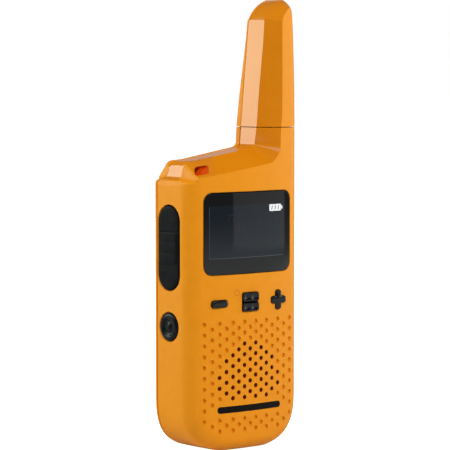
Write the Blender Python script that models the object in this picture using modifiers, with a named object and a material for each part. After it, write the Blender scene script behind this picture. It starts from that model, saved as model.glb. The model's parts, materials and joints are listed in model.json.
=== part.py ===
"""Pocket two-way radio, modelled as an assembly: two housings, an antenna on the right shoulder,
a display, rubber keys, a speaker, three AAA cells and a belt clip.

The design axes are X to the right, Y from the front face to the back, and Z up. Lengths are in
millimetres inside the script and are turned into metres where each mesh is made.
"""

import math

import bmesh
import bpy
from mathutils import Matrix, Vector
from mathutils.geometry import delaunay_2d_cdt

MM = 0.001
GAP = 0.3
UP = Vector((0, 0, 1))

# Driving sizes of the case
HALF_WIDTH = 27.5
DEPTH = 25.5
CROWN_RADIUS = 130.0
EDGE_ROUND = 5.3
WALL = 1.8
PARTING_Y = 22.0
ANTENNA_PARTING_Y = 17.4
SEAM_Z = 122.4
SHOULDER_Z = 102.0
BASE_ROUND = 22.0
FOOT_CUT = 0.35
DESIGN_CENTRE_Y = 16.7

# Display, keys and grille on the front face
WINDOW = (42.6, 30.7)
WINDOW_Z = 82.9
WINDOW_ROUND = 3.4
KEY_ROW_Z = 56.5
KEY_X = 14.5
HOLE_COLUMNS = (0.0, 2.78, 5.55, 8.35, 11.34, 14.49, 17.82, 21.31)
HOLE_PITCH = 4.09
HOLE_TOP_Z = 49.0
HOLE_RADIUS = 0.7
SPEAKER_Z = 30.3

# Keys on the left side and sockets on the right side
SIDE_KEY_Y = 15.1
PTT_Z = 77.5
PTT_SIZE = (12.3, 32.0)
CALL_Z = 47.6
CALL_RADIUS = 5.3
KEY_PROUD = 0.9
PORT_Z = 80.0
PORT_Y = 13.5
PORT_SIZE = (9.0, 24.0)

# Back: battery door and belt clip
DOOR_HALF_WIDTH = 19.0
DOOR_TOP_Z = 61.0
CLIP_PIN_Y = 30.7
CLIP_PIN_Z = 97.0
CLIP_BACK_Y = 33.6
SCREW_PLACES = ((-22.4, 97.0), (22.4, 97.0), (-22.0, 30.0), (22.0, 30.0))

COLOURS = {
    "orange": ((0.83, 0.30, 0.012), 0.38, 0.0),
    "black_rubber": ((0.012, 0.013, 0.016), 0.6, 0.0),
    "black_plastic": ((0.02, 0.02, 0.022), 0.45, 0.0),
    "dark_window": ((0.01, 0.012, 0.015), 0.08, 0.0),
    "board": ((0.01, 0.12, 0.05), 0.5, 0.0),
    "steel": ((0.6, 0.6, 0.62), 0.3, 1.0),
    "copper": ((0.72, 0.35, 0.16), 0.35, 1.0),
    "grey_plastic": ((0.3, 0.31, 0.33), 0.5, 0.0),
    "cell_wrap": ((0.05, 0.09, 0.2), 0.35, 0.0),
    "paper": ((0.06, 0.06, 0.06), 0.9, 0.0),
}


def clear_scene():
    for obj in list(bpy.data.objects):
        bpy.data.objects.remove(obj)
    parts = bpy.data.collections.new("two_way_radio")
    cutters = bpy.data.collections.new("cutters")
    bpy.context.scene.collection.children.link(parts)
    bpy.context.scene.collection.children.link(cutters)
    return parts, cutters


PARTS, CUTTERS = clear_scene()
ORIGIN = bpy.data.objects.new("radio_origin", None)
PARTS.objects.link(ORIGIN)
ORIGIN.location = (0, -DESIGN_CENTRE_Y * MM, 0)


def material(name):
    found = bpy.data.materials.get(name)
    if found:
        return found
    colour, roughness, metallic = COLOURS[name]
    made = bpy.data.materials.new(name)
    made.use_nodes = True
    shader = made.node_tree.nodes["Principled BSDF"]
    shader.inputs["Base Color"].default_value = (*colour, 1)
    shader.inputs["Roughness"].default_value = roughness
    shader.inputs["Metallic"].default_value = metallic
    return made


def add_object(name, bm, colour=None, pivot=None, at=(0, 0, 0)):
    """Turns a bmesh in millimetres into an object. Without a colour it's a cutter.

    A pivot becomes the object's origin without moving its shape, while at moves the shape too.
    """
    if pivot:
        bmesh.ops.translate(bm, vec=-Vector(pivot), verts=bm.verts)
        at = pivot
    bmesh.ops.recalc_face_normals(bm, faces=bm.faces)
    bmesh.ops.scale(bm, vec=(MM, MM, MM), verts=bm.verts)
    mesh = bpy.data.meshes.new(name)
    bm.to_mesh(mesh)
    bm.free()
    obj = bpy.data.objects.new(name, mesh)
    (PARTS if colour else CUTTERS).objects.link(obj)
    obj.parent = ORIGIN
    obj.location = Vector(at) * MM
    if colour:
        mesh.materials.append(material(colour))
        mesh.shade_smooth()
        mesh.set_sharp_from_angle(angle=math.radians(35))
    else:
        obj.hide_render = True
        obj.display_type = "WIRE"
    return obj


def box_mesh(size, centre=(0, 0, 0), bm=None):
    bm = bm or bmesh.new()
    placed = Matrix.Translation(centre) @ Matrix.Diagonal((*size, 1))
    bmesh.ops.create_cube(bm, size=1, matrix=placed)
    return bm


def turn_to(axis):
    return Vector(axis).to_track_quat("Z", "Y").to_matrix().to_4x4()


def cylinder_mesh(radius, length, centre=(0, 0, 0), axis=(0, 1, 0), sides=24, top=None, bm=None):
    bm = bm or bmesh.new()
    placed = Matrix.Translation(centre) @ turn_to(axis)
    top = radius if top is None else top
    bmesh.ops.create_cone(
        bm, cap_ends=True, segments=sides, radius1=radius, radius2=top, depth=length, matrix=placed
    )
    return bm


def prism_mesh(outline, low, high, axis="Y", bm=None):
    """A prism over a closed 2D outline. The outline is X,Z for axis Y, Y,Z for X, and X,Y for Z."""
    bm = bm or bmesh.new()
    place = {
        "Y": lambda a, b, h: (a, h, b),
        "X": lambda a, b, h: (h, a, b),
        "Z": lambda a, b, h: (a, b, h),
    }[axis]
    base = bm.faces.new([bm.verts.new(place(a, b, low)) for a, b in outline])
    grown = bmesh.ops.extrude_face_region(bm, geom=[base])
    lift = Vector(place(0, 0, high)) - Vector(place(0, 0, low))
    moved = [v for v in grown["geom"] if isinstance(v, bmesh.types.BMVert)]
    bmesh.ops.translate(bm, vec=lift, verts=moved)
    return bm


def round_rect(width, height, radius, centre=(0, 0), steps=4):
    """Corner arcs of a rounded rectangle, counter-clockwise."""
    points = []
    for quarter in range(4):
        sx = 1 if quarter in (0, 3) else -1
        sz = 1 if quarter in (0, 1) else -1
        cx = centre[0] + sx * (width / 2 - radius)
        cz = centre[1] + sz * (height / 2 - radius)
        for step in range(steps + 1):
            angle = math.radians(90 * (quarter + step / steps))
            points.append((cx + radius * math.cos(angle), cz + radius * math.sin(angle)))
    return points


def plus_outline(size, arm, centre=(0, 0)):
    """A plus sign with the given overall size and arm width, counter-clockwise."""
    s, a = size / 2, arm / 2
    quarter = [(s, -a), (s, a), (a, a)]
    points = []
    for turn in range(4):
        c, d = math.cos(turn * math.pi / 2), math.sin(turn * math.pi / 2)
        points += [(centre[0] + x * c - z * d, centre[1] + x * d + z * c) for x, z in quarter]
    return points


def helix_points(radius, pitch, turns, per_turn=8, start=0.0):
    count = int(turns * per_turn)
    steps = [2 * math.pi * i / per_turn for i in range(count + 1)]
    return [
        (radius * math.cos(a), radius * math.sin(a), start + pitch * a / (2 * math.pi)) for a in steps
    ]


def wire(name, points, radius, colour, at=(0, 0, 0), axis=(0, 0, 1)):
    """A round wire as a poly curve with filled caps, turned from +Z to the given axis."""
    curve = bpy.data.curves.new(name, "CURVE")
    curve.dimensions = "3D"
    curve.bevel_depth = radius * MM
    curve.bevel_resolution = 1
    curve.use_fill_caps = True
    spline = curve.splines.new("POLY")
    spline.points.add(len(points) - 1)
    for point, place in zip(spline.points, points):
        point.co = (*(Vector(place) * MM), 1)
    curve.materials.append(material(colour))
    obj = bpy.data.objects.new(name, curve)
    PARTS.objects.link(obj)
    obj.parent = ORIGIN
    obj.location = Vector(at) * MM
    obj.rotation_euler = turn_to(axis).to_euler()
    return obj


def bevel(obj, width, segments=2):
    modifier = obj.modifiers.new("edges", "BEVEL")
    modifier.width = width * MM
    modifier.segments = segments
    modifier.limit_method = "ANGLE"
    modifier.angle_limit = math.radians(40)


def boolean(obj, *others, operation="DIFFERENCE"):
    for other in others:
        modifier = obj.modifiers.new(operation.lower(), "BOOLEAN")
        modifier.operation = operation
        modifier.object = other


def unite(obj, *others):
    boolean(obj, *others, operation="UNION")


# --- The case surface: matched outlines of the widest section and of the front and rear faces ---


def crown(x):
    """How far the front face lies behind its middle line at this X."""
    return CROWN_RADIUS - math.sqrt(CROWN_RADIUS**2 - x * x)


def mix(a, b, t):
    return a + (b - a) * t


def ramp(value, low, high):
    t = min(1.0, max(0.0, (value - low) / (high - low)))
    return t * t * (3 - 2 * t)


def line(start, end, count):
    return [(mix(start[0], end[0], i / count), mix(start[1], end[1], i / count)) for i in range(count)]


def arc(centre, radius, start, end, count):
    turns = [math.radians(mix(start, end, i / count)) for i in range(count)]
    return [(centre[0] + radius * math.cos(a), centre[1] + radius * math.sin(a)) for a in turns]


def smooth_line(points, count):
    """Catmull-Rom curve through the points, with count steps in each span, without the last point."""
    made = []
    for i in range(len(points) - 1):
        a = Vector(points[max(i - 1, 0)])
        b, c = Vector(points[i]), Vector(points[i + 1])
        d = Vector(points[min(i + 2, len(points) - 1)])
        for step in range(count):
            t = step / count
            cubic = (2 * b + (c - a) * t + (2 * a - 5 * b + 4 * c - d) * t**2) / 2
            made.append(tuple(cubic + (3 * b - a - 3 * c + d) * t**3 / 2))
    return made


def base_corner(half_width, height, side, count):
    """A quarter of a third-power superellipse round the bottom corner of one side, from the middle out."""
    points = []
    for i in range(count):
        angle = math.pi / 2 * i / count
        x = side * half_width * math.sin(angle) ** (2 / 3)
        z = BASE_ROUND - height * math.cos(angle) ** (2 / 3)
        points.append((x, z))
    return points


def antenna_right(z):
    return HALF_WIDTH - 2.5 * max(0.0, (z - SEAM_Z) / 42) ** 2


def antenna_left(z):
    return 9.9 + 0.07 * (z - SEAM_Z)


def case_stations(detail):
    """Matched points (outer, front, kind) round the case, counter-clockwise from the foot's middle.

    outer is on the widest section, front is on the edge of the front face, and kind is 0 along a
    rounded edge and 1 along the bevel over the shoulder and up the antenna.
    """
    inset = EDGE_ROUND
    tip_outer = [(25.1, 163.5), (24.9, 168.3), (24.1, 170.7), (22.3, 171.2), (19.9, 170.3)]
    tip_outer += [(17.1, 168.6), (14.7, 166.1), (12.9, 163.2)]
    tip_front = [(22.2, 162.5), (22.2, 165.2), (22.1, 167.3), (21.3, 168.0), (20.0, 167.2)]
    tip_front += [(18.7, 166.0), (17.6, 164.7), (17.0, 163.0)]
    outer, front, kind = [], [], []

    def add(outer_points, front_points, kinds):
        outer.extend(outer_points)
        front.extend(front_points)
        kinds = kinds if isinstance(kinds, list) else [kinds] * len(outer_points)
        kind.extend(kinds)

    n = 5 * detail
    add(
        base_corner(HALF_WIDTH, BASE_ROUND, 1, n),
        base_corner(HALF_WIDTH - inset, BASE_ROUND - inset, 1, n),
        0,
    )
    n = 3 * detail
    side = [mix(BASE_ROUND, 110, i / n) for i in range(n)]
    add([(HALF_WIDTH, z) for z in side], [(HALF_WIDTH - inset, z) for z in side], 0)
    n = 4 * detail
    side = [mix(110, 163.5, i / n) for i in range(n)]
    add(
        [(antenna_right(z), z) for z in side],
        [(mix(HALF_WIDTH - inset, 22.3, ramp(z, 110, 163)), z - ramp(z, 110, 163)) for z in side],
        0,
    )
    tip = smooth_line(tip_outer, detail)
    add(tip, smooth_line(tip_front, detail), [ramp(i, 0, 3 * detail) for i in range(len(tip))])
    n = 3 * detail
    down = [mix(163.4, 117.0, i / n) for i in range(n)]
    add(
        [(antenna_left(z), z) for z in down],
        [(mix(16.1, 17.0, ramp(z, 118, 130)), z - 0.4 * ramp(z, 117, 163.4)) for z in down],
        1,
    )
    n = 3 * detail
    add(arc((7.2, 117.0), 2.4, 0, -82, n), arc((8.6, 116.2), 7.5, 0, -81, n), 1)
    n = 3 * detail
    add(line((7.6, 114.6), (-19.3, 110.3), n), line((9.8, 108.8), (-22.7, 104.2), n), 1)
    n = 2 * detail
    add(arc((-19.3, 106.3), 4.0, 90, 155, n), line((-22.7, 104.2), (-23.7, 104.0), n), 1)
    ledge = smooth_line([(-22.9, 108.0), (-24.3, 103.9), (-26.9, 102.9), (-27.5, 101.0)], detail)
    inner = smooth_line([(-23.7, 104.0), (-24.0, 103.5), (-23.2, 102.3), (-22.3, 101.0)], detail)
    fade = [1 - ramp(i, detail, 2.6 * detail) for i in range(len(ledge))]
    add(ledge, inner, fade)
    n = 3 * detail
    side = [mix(101.0, BASE_ROUND, i / n) for i in range(n)]
    add([(-HALF_WIDTH, z) for z in side], [(inset - HALF_WIDTH, z) for z in side], 0)
    n = 5 * detail
    add(
        reversed_corner(HALF_WIDTH, BASE_ROUND, n),
        reversed_corner(HALF_WIDTH - inset, BASE_ROUND - inset, n),
        0,
    )
    outer = [(x, max(0.0, z - FOOT_CUT) if z < BASE_ROUND else z) for x, z in outer]
    return list(zip(outer, front, kind))


def reversed_corner(half_width, height, count):
    """The left bottom corner from its side down to just before the foot's middle."""
    corner = base_corner(half_width, height, -1, count)
    return [(-half_width, BASE_ROUND)] + corner[:0:-1]


def is_cap(z, x):
    """0 on the main body and 1 from the shoulder bevel upwards."""
    return ramp(z, 103.2, 105.5) if x < 9 else ramp(z, 104, 116)


def rear_face_y(z):
    return DEPTH - 5.5 * max(0.0, z - 112) / 59


def rear_point(outer, front):
    """The edge of the rear face opposite a point of the widest section."""
    x, z = outer
    return (mix(x, front[0], 0.95), mix(z, front[1], 0.95))


def parting_y(x, z):
    upper = ANTENNA_PARTING_Y + 3.0 * ramp(-x, 17, 22) - 0.03 * max(0.0, z - SEAM_Z)
    return mix(PARTING_Y, upper, is_cap(z, x))


def bevel_depth(x, z):
    """How far back from the front face the bevel reaches."""
    return 9.0 - 1.4 * ramp(z, 111, 124) - 1.5 * ramp(z, SEAM_Z, 165) + ramp(-x, 18.5, 22.5)


def upright(z, kind):
    """How far the side runs straight back from the parting line before it tapers."""
    return 2.0 * kind * ramp(z, 103, 108) * (1 - ramp(z, SEAM_Z, 165))


def rear_edge_y(x, z):
    return parting_y(x, z) + 0.5


def front_rings(detail, steps):
    """Rings of points from the parting line forward to the edge of the front face."""
    stations = case_stations(detail)
    rings = [[(x, parting_y(x, z), z) for (x, z), _, _ in stations]]
    for step in range(steps + 1):
        turn = math.pi / 2 * (1 - step / steps)
        ring = []
        for (ox, oz), (ix, iz), kind in stations:
            flat = 1 - step / steps
            out = mix(math.sin(turn), flat, kind)
            back = mix(1 - math.cos(turn), flat, kind)
            depth = mix(EDGE_ROUND, bevel_depth(ox, oz), kind)
            x, z = mix(ix, ox, out), mix(iz, oz, out)
            ring.append((x, crown(x) + depth * back, z))
        rings.append(ring)
    return rings


def rear_rings(detail, steps):
    """Rings of points from the parting line back to the edge of the rear face."""
    stations = case_stations(detail)
    rings = [[(x, parting_y(x, z), z) for (x, z), _, _ in stations]]
    for step in range(steps + 1):
        turn = math.pi / 2 * step / steps
        ring = []
        for outer, front, kind in stations:
            rx, rz = rear_point(outer, front)
            out = mix(math.cos(turn), 1 - step / steps, kind)
            back = mix(math.sin(turn), step / steps, kind)
            x, z = mix(rx, outer[0], out), mix(rz, outer[1], out)
            edge = rear_edge_y(*outer) + upright(outer[1], kind)
            ring.append((x, mix(edge, rear_face_y(z), back), z))
        rings.append(ring)
    return rings


def skin(rings, first_depth, last_depth, bm, spacing=7.0):
    """Joins the rings with quads and closes both ends with faces at the depths of the two functions."""
    loops = [[bm.verts.new(p) for p in ring] for ring in rings]
    for a, b in zip(loops, loops[1:]):
        for i in range(len(a)):
            j = (i + 1) % len(a)
            bm.faces.new((a[i], a[j], b[j], b[i]))
    fill(bm, loops[0], first_depth, spacing)
    fill(bm, loops[-1], last_depth, spacing)
    bmesh.ops.recalc_face_normals(bm, faces=bm.faces)


def fill(bm, loop, depth_at, spacing):
    """Closes a ring with a triangulated face whose inner points lie at depth_at(x, z)."""
    edge = [Vector((v.co.x, v.co.z)) for v in loop]
    grid = [Vector((c * spacing, 8 + r * spacing)) for r in range(int(160 / spacing)) for c in range(-8, 9)]
    grid = [p for p in grid if within(p, edge, 0.4 * spacing)]
    count = len(edge)
    rim = [(i, (i + 1) % count) for i in range(count)]
    points, _, faces, sources, _, _ = delaunay_2d_cdt(edge + grid, rim, [], 1, 1e-6, True)
    made = []
    for p, source in zip(points, sources):
        on_edge = [i for i in source if i < count]
        made.append(loop[on_edge[0]] if on_edge else bm.verts.new((p.x, depth_at(p.x, p.y), p.y)))
    for face in faces:
        if within(sum((points[i] for i in face), Vector((0, 0))) / 3, edge, 0.001):
            bm.faces.new([made[i] for i in face])


def within(point, outline, margin):
    """True if the point lies inside the closed outline and at least margin away from it."""
    inside = False
    for a, b in zip(outline, outline[1:] + outline[:1]):
        if (a.y > point.y) != (b.y > point.y):
            if point.x < a.x + (point.y - a.y) * (b.x - a.x) / (b.y - a.y):
                inside = not inside
        along = min(1, max(0, (point - a).dot(b - a) / max((b - a).length_squared, 1e-9)))
        if (a + (b - a) * along - point).length < margin:
            return False
    return inside


# --- Case pieces ---


def grille_holes():
    """Centres of the open speaker holes, in staggered columns."""
    rows_open = {0: (2, 7), 1: (2, 8), 2: (2, 7), 3: (3, 8), 4: (3, 7), 5: (5, 7)}
    holes = []
    for column, (first, last) in rows_open.items():
        phase = 0 if column % 2 else 0.5
        for row in range(first, last):
            z = HOLE_TOP_Z - HOLE_PITCH * (row + phase)
            for side in (1, -1) if column else (1,):
                holes.append((side * HOLE_COLUMNS[column], z))
    return holes


def front_cutter():
    """Window opening with its ledge, the four key openings and the grille holes, in one cutter."""
    bm = bmesh.new()
    width, height = WINDOW
    prism_mesh(round_rect(width + 0.6, height + 0.6, WINDOW_ROUND + 0.3, (0, WINDOW_Z)), -3, 2.4, bm=bm)
    cutter = add_object("window_cutter", bm)
    bm = bmesh.new()
    prism_mesh(round_rect(width - 3, height - 3, 2.0, (0, WINDOW_Z), 3), -3, 9, bm=bm)
    through = add_object("window_through_cutter", bm)
    bm = bmesh.new()
    for outline in key_openings():
        prism_mesh(outline, -3, 9, bm=bm)
    for x, z in grille_holes():
        cylinder_mesh(HOLE_RADIUS, 12, (x, 2, z), sides=6, bm=bm)
    return cutter, through, add_object("key_and_grille_cutter", bm)


def key_openings():
    """The openings for the front keys. The upper and lower key share the middle one."""
    outlines = key_outlines(GAP)
    pair = round_rect(7.6 + 2 * GAP, 7.1 + 2 * GAP, 1.1, (0, KEY_ROW_Z + 0.05), 2)
    return [outlines["minus_key"], outlines["plus_key"], pair]


def key_outlines(grow=0.0):
    """Front key outlines in X,Z, grown all round by grow."""
    row = KEY_ROW_Z
    return {
        "minus_key": round_rect(7.2 + 2 * grow, 2.6 + 2 * grow, 1.1, (-KEY_X, row), 2),
        "plus_key": plus_outline(7.0 + 2 * grow, 2.7 + 2 * grow, (KEY_X, row)),
        "upper_key": round_rect(7.6 + 2 * grow, 3.4 + 2 * grow, 0.8, (0, row + 1.9), 2),
        "lower_key": round_rect(7.6 + 2 * grow, 3.2 + 2 * grow, 0.8, (0, row - 1.9), 2),
    }


def stadium(width, height, centre, steps=8):
    """A slot shape with half-circle ends, counter-clockwise."""
    radius, reach = width / 2, (height - width) / 2
    points = []
    for step in range(2 * steps + 1):
        angle = math.pi * step / (2 * steps)
        points.append((centre[0] + radius * math.cos(angle), centre[1] + reach + radius * math.sin(angle)))
    return points + [(2 * centre[0] - a, 2 * centre[1] - b) for a, b in points]


def side_cutter():
    """Openings for the push-to-talk key, the round key and the sockets, and the lanyard eye."""
    bm = bmesh.new()
    grow = 2 * GAP
    y, w, h = SIDE_KEY_Y, PTT_SIZE[0] + grow, PTT_SIZE[1] + grow
    prism_mesh(stadium(w, h, (y, PTT_Z), 5), -40, -20, "X", bm)
    cylinder_mesh(CALL_RADIUS + GAP, 20, (-30, y, CALL_Z), (1, 0, 0), 28, bm=bm)
    prism_mesh(round_rect(PORT_SIZE[0] - 2.4, PORT_SIZE[1] - 2.4, 1.5, (PORT_Y, PORT_Z), 2), 20, 40, "X", bm)
    sides = add_object("side_cutter", bm)
    bm = bmesh.new()
    prism_mesh(round_rect(PORT_SIZE[0] + grow, PORT_SIZE[1] + grow, 2.2, (PORT_Y, PORT_Z), 3), 26.7, 40, "X", bm)
    recess = add_object("port_recess_cutter", bm)
    bm = bmesh.new()
    prism_mesh(round_rect(5.2, 3.2, 1.5, (-19.0, 107.0), 3), -5, 40, bm=bm)
    return sides, recess, add_object("lanyard_cutter", bm)


def cavity_outline(inset):
    """The inner outline of the body below the shoulder, at the given distance inside the widest section."""
    half, base = HALF_WIDTH - inset, BASE_ROUND - inset
    right = base_corner(half, base, 1, 8) + [(half, BASE_ROUND)]
    top = SHOULDER_Z - inset + 1.8
    left = [(-x, z) for x, z in right[:0:-1]]
    return right + [(half, top), (3.5 - half, top), (-half, top - 2.5)] + left


def cavities():
    """The room inside the body, in three steps of depth, and the bore of the antenna."""
    room = add_object("room_cutter", prism_mesh(cavity_outline(WALL), 6.4, 22.15))
    front = add_object("front_room_cutter", prism_mesh(cavity_outline(3.6), -3, 6.7))
    crowned = cylinder_mesh(CROWN_RADIUS - WALL, 240, (0, CROWN_RADIUS, 60), UP, 256)
    boolean(front, add_object("inner_crown_keeper", crowned), operation="INTERSECT")
    rear = add_object("rear_room_cutter", prism_mesh(cavity_outline(2.8), 21.9, DEPTH - WALL))
    unite(room, front, rear)
    bore = cylinder_mesh(4.9, 62, (18.7, 11.9, 130), UP, 24, 4.2)
    return room, add_object("antenna_bore_cutter", bore)


def housings(room, bore, above_seam):
    bm = bmesh.new()
    skin(front_rings(3, 4), parting_y, lambda x, z: crown(x), bm)
    front = add_object("front_housing", bm, "orange")
    boolean(front, above_seam, room, bore)
    bosses = bmesh.new()
    bores = bmesh.new()
    for x, z in SCREW_PLACES:
        cylinder_mesh(2.2, 17, (x, 11.5, z), sides=16, bm=bosses)
        cylinder_mesh(1.2, 14, (x, 14.5, z), sides=12, bm=bores)
    unite(front, add_object("screw_bosses", bosses))
    boolean(front, add_object("screw_bores", bores))
    boolean(front, *front_cutter(), *side_cutter())
    bm = bmesh.new()
    rings = rear_rings(3, 2)
    rings[0] = [(x, y + GAP, z) for x, y, z in rings[0]]
    skin(rings, lambda x, z: parting_y(x, z) + GAP, lambda x, z: rear_face_y(z), bm)
    rear = add_object("rear_housing", bm, "orange")
    boolean(rear, above_seam, room, bpy.data.objects["lanyard_cutter"])
    door = rear.copy()
    door.data = rear.data.copy()
    door.name = "battery_door"
    PARTS.objects.link(door)
    boolean(door, add_object("door_keeper", door_box(GAP)), operation="INTERSECT")
    boolean(rear, add_object("door_cutter", door_box(0.0)))
    finish_rear(rear)


def finish_rear(rear):
    """The T-shaped rail for the belt clip, and the counterbored screw holes."""
    neck = box_mesh((5, 2.6, 14), (0, DEPTH + 0.5, 95))
    head = box_mesh((9, 0.8, 14), (0, DEPTH + 1.9, 95))
    unite(rear, add_object("rail_neck", neck), add_object("rail_head", head))
    holes = bmesh.new()
    heads = bmesh.new()
    for x, z in SCREW_PLACES:
        cylinder_mesh(1.2, 9, (x, DEPTH - 2, z), sides=16, bm=holes)
        cylinder_mesh(2.2, 3, (x, DEPTH + 0.7, z), sides=20, bm=heads)
    boolean(rear, add_object("rear_screw_bores", holes), add_object("rear_counterbores", heads))


def door_box(shrink):
    low, high = -5, DOOR_TOP_Z - shrink
    width = 2 * (DOOR_HALF_WIDTH - shrink)
    return box_mesh((width, 20, high - low), (0, DEPTH + 2, (low + high) / 2))


def antenna(bore):
    """The sleeve above the seam, the rod inside it and the wound radiator."""
    bm = bmesh.new()
    rings = front_rings(3, 3)[::-1] + rear_rings(3, 2)[1:]
    skin(rings, lambda x, z: crown(x), lambda x, z: rear_face_y(z), bm, 12.0)
    sleeve = add_object("antenna_sleeve", bm, "orange")
    below = box_mesh((90, 90, 200), (0, 0, SEAM_Z + GAP / 2 - 100))
    boolean(sleeve, add_object("below_seam_cutter", below), bore)
    rod_x, rod_y = 18.7, 11.9
    rod = cylinder_mesh(2.3, 46, (0, 0, 0), UP, 20, 1.9)
    add_object("antenna_former", rod, "black_plastic", at=(rod_x, rod_y, 133.5))
    wire("antenna_coil", helix_points(3.0, 4.6, 8), 0.35, "copper", (rod_x, rod_y, 114))
    foot = box_mesh((6, 6, 4.4), (rod_x, rod_y, 107.9))
    bevel(add_object("antenna_base", foot, "black_plastic"), 0.6, 1)


# --- Display and front keys ---


def display():
    width, height = WINDOW
    bm = prism_mesh(round_rect(width, height, WINDOW_ROUND, (0, WINDOW_Z), 5), -0.1, 1.9)
    window = add_object("display_window", bm, "dark_window")
    crown_cutter = cylinder_mesh(CROWN_RADIUS + 0.15, 60, (0, CROWN_RADIUS, WINDOW_Z), UP, 512)
    keeper = add_object("window_crown_keeper", crown_cutter)
    boolean(window, keeper, operation="INTERSECT")
    ring = prism_mesh(round_rect(width - 3.4, height - 3.4, 2.0, (0, WINDOW_Z), 3), 4.1, 4.8)
    gasket = add_object("window_gasket", ring, "black_rubber")
    hole = prism_mesh(round_rect(width - 6.2, height - 6.2, 1.2, (0, WINDOW_Z), 3), 3, 6)
    boolean(gasket, add_object("gasket_cutter", hole))
    frame = add_object("display_frame", box_mesh((40, 3.0, 25.6), (0, 6.8, WINDOW_Z + 0.5)), "black_plastic")
    boolean(frame, add_object("display_frame_cutter", box_mesh((36.6, 9, 23.6), (0, 6.8, WINDOW_Z + 0.5))))
    add_object("display_panel", box_mesh((36, 1.1, 23), (0, 6.0, WINDOW_Z + 0.5)), "grey_plastic")
    add_object("backlight_panel", box_mesh((36, 0.9, 23), (0, 7.5, WINDOW_Z + 0.5)), "paper")


def front_keys():
    """Each key is a cap through the front face, a flange behind it and a post towards the board."""
    centres = {"minus_key": -KEY_X, "plus_key": KEY_X, "upper_key": 0.0, "lower_key": 0.0}
    heights = {"minus_key": 0.0, "plus_key": 0.0, "upper_key": 1.9, "lower_key": -1.9}
    for name, outline in key_outlines().items():
        x, z = centres[name], KEY_ROW_Z + heights[name]
        top = crown(x) - KEY_PROUD
        behind = crown(abs(x) + 4.6) + WALL + GAP
        key = add_object(name, prism_mesh(outline, top, behind + 0.4), "black_rubber", pivot=(x, top, z))
        bevel(key, 0.3)
        size = {"minus_key": (9.0, 4.4), "plus_key": (9.2, 9.2)}.get(name, (9.4, 3.42))
        flange = box_mesh((size[0], 0.8, size[1]), (x, behind + 0.4, z))
        unite(key, add_object(f"{name}_flange", flange))
        post = box_mesh((3.0, 2.6, 2.0), (x, behind + 1.9, z))
        unite(key, add_object(f"{name}_post", post))
    sheet = box_mesh((40, 0.8, 11), (0, 5.6, KEY_ROW_Z))
    membrane = add_object("keypad_membrane", sheet, "black_rubber")
    bm = bmesh.new()
    for name, x in centres.items():
        box_mesh((3.8, 6, 2.8), (x, 5.6, KEY_ROW_Z + heights[name]), bm)
    boolean(membrane, add_object("membrane_cutter", bm))


# --- Electronics ---


def main_board():
    outline = round_rect(37.2, 52, 2, (0, 75.2), 2)
    add_object("main_board", prism_mesh(outline, 9.0, 10.2), "board")
    add_object("shield_can", box_mesh((24, 2.2, 18), (-5, 11.7, 91.5)), "steel")
    add_object("radio_chip", box_mesh((9, 1.2, 9), (10, 11.2, 72)), "black_plastic")
    add_object("antenna_contact", box_mesh((3, 3.0, 5), (16.6, 12.1, 99.0)), "copper")
    mic = cylinder_mesh(1.7, 1.8, (16.4, 6.3, 64.8), sides=16)
    add_object("microphone", mic, "steel")
    boot = cylinder_mesh(2.4, 2.4, (16.4, 6.4, 64.8), sides=16)
    sleeve = add_object("microphone_boot", boot, "black_rubber")
    boolean(sleeve, add_object("boot_cutter", cylinder_mesh(1.7 + GAP, 6, (16.4, 6.0, 64.8), sides=16)))


def side_switches():
    """The small board along the left wall, with a switch behind each side key."""
    board = box_mesh((1.0, 9, 56), (-19.6, SIDE_KEY_Y, 66.5))
    add_object("side_board", board, "board")
    for name, z in (("ptt_switch", PTT_Z), ("call_switch", CALL_Z)):
        case = add_object(name, box_mesh((1.6, 6, 6), (-21.2, SIDE_KEY_Y, z)), "black_plastic")
        boolean(case, add_object(f"{name}_bore", cylinder_mesh(1.5, 1.7, (-21.45, SIDE_KEY_Y, z), (1, 0, 0), 16)))
        stem = cylinder_mesh(1.2, 1.3, (-22.05, SIDE_KEY_Y, z), (1, 0, 0), 16)
        add_object(name.replace("switch", "plunger"), stem, "grey_plastic")


def side_keys():
    """The push-to-talk key with its raised middle pad, and the round key with its rim."""
    y, (w, h) = SIDE_KEY_Y, PTT_SIZE
    face = -HALF_WIDTH - 0.35
    back = -HALF_WIDTH + WALL + GAP
    ptt = add_object("ptt_key", prism_mesh(stadium(w, h, (y, PTT_Z)), face, back + 0.5, "X"), "black_rubber", pivot=(face, y, PTT_Z))
    bevel(ptt, 0.3)
    pad = prism_mesh(round_rect(w - 1.6, 13.5, 1.5, (y, PTT_Z), 3), -HALF_WIDTH - KEY_PROUD, -27, "X")
    unite(ptt, add_object("ptt_pad", pad))
    flange = prism_mesh(stadium(w + 1.6, h + 2.4, (y, PTT_Z)), back, back + 1.0, "X")
    unite(ptt, add_object("ptt_flange", flange))
    post = box_mesh((2.4, 3, 3), (back + 1.0, y, PTT_Z))
    unite(ptt, add_object("ptt_post", post))
    r = CALL_RADIUS
    call = cylinder_mesh(r, back + 0.5 + 28.1, ((back + 0.5 - 28.1) / 2, y, CALL_Z), (1, 0, 0), 32)
    call = add_object("call_key", call, "black_rubber", pivot=(face, y, CALL_Z))
    bevel(call, 0.4)
    dish = cylinder_mesh(r - 2.4, 1, (-28.25, y, CALL_Z), (1, 0, 0), 24, r - 1.6)
    boolean(call, add_object("call_dish", dish))
    unite(call, add_object("call_flange", cylinder_mesh(r + 1.2, 1, (back + 0.5, y, CALL_Z), (1, 0, 0), 32)))
    post = box_mesh((2.4, 3, 3), (back + 1.0, y, CALL_Z))
    unite(call, add_object("call_post", post))


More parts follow.
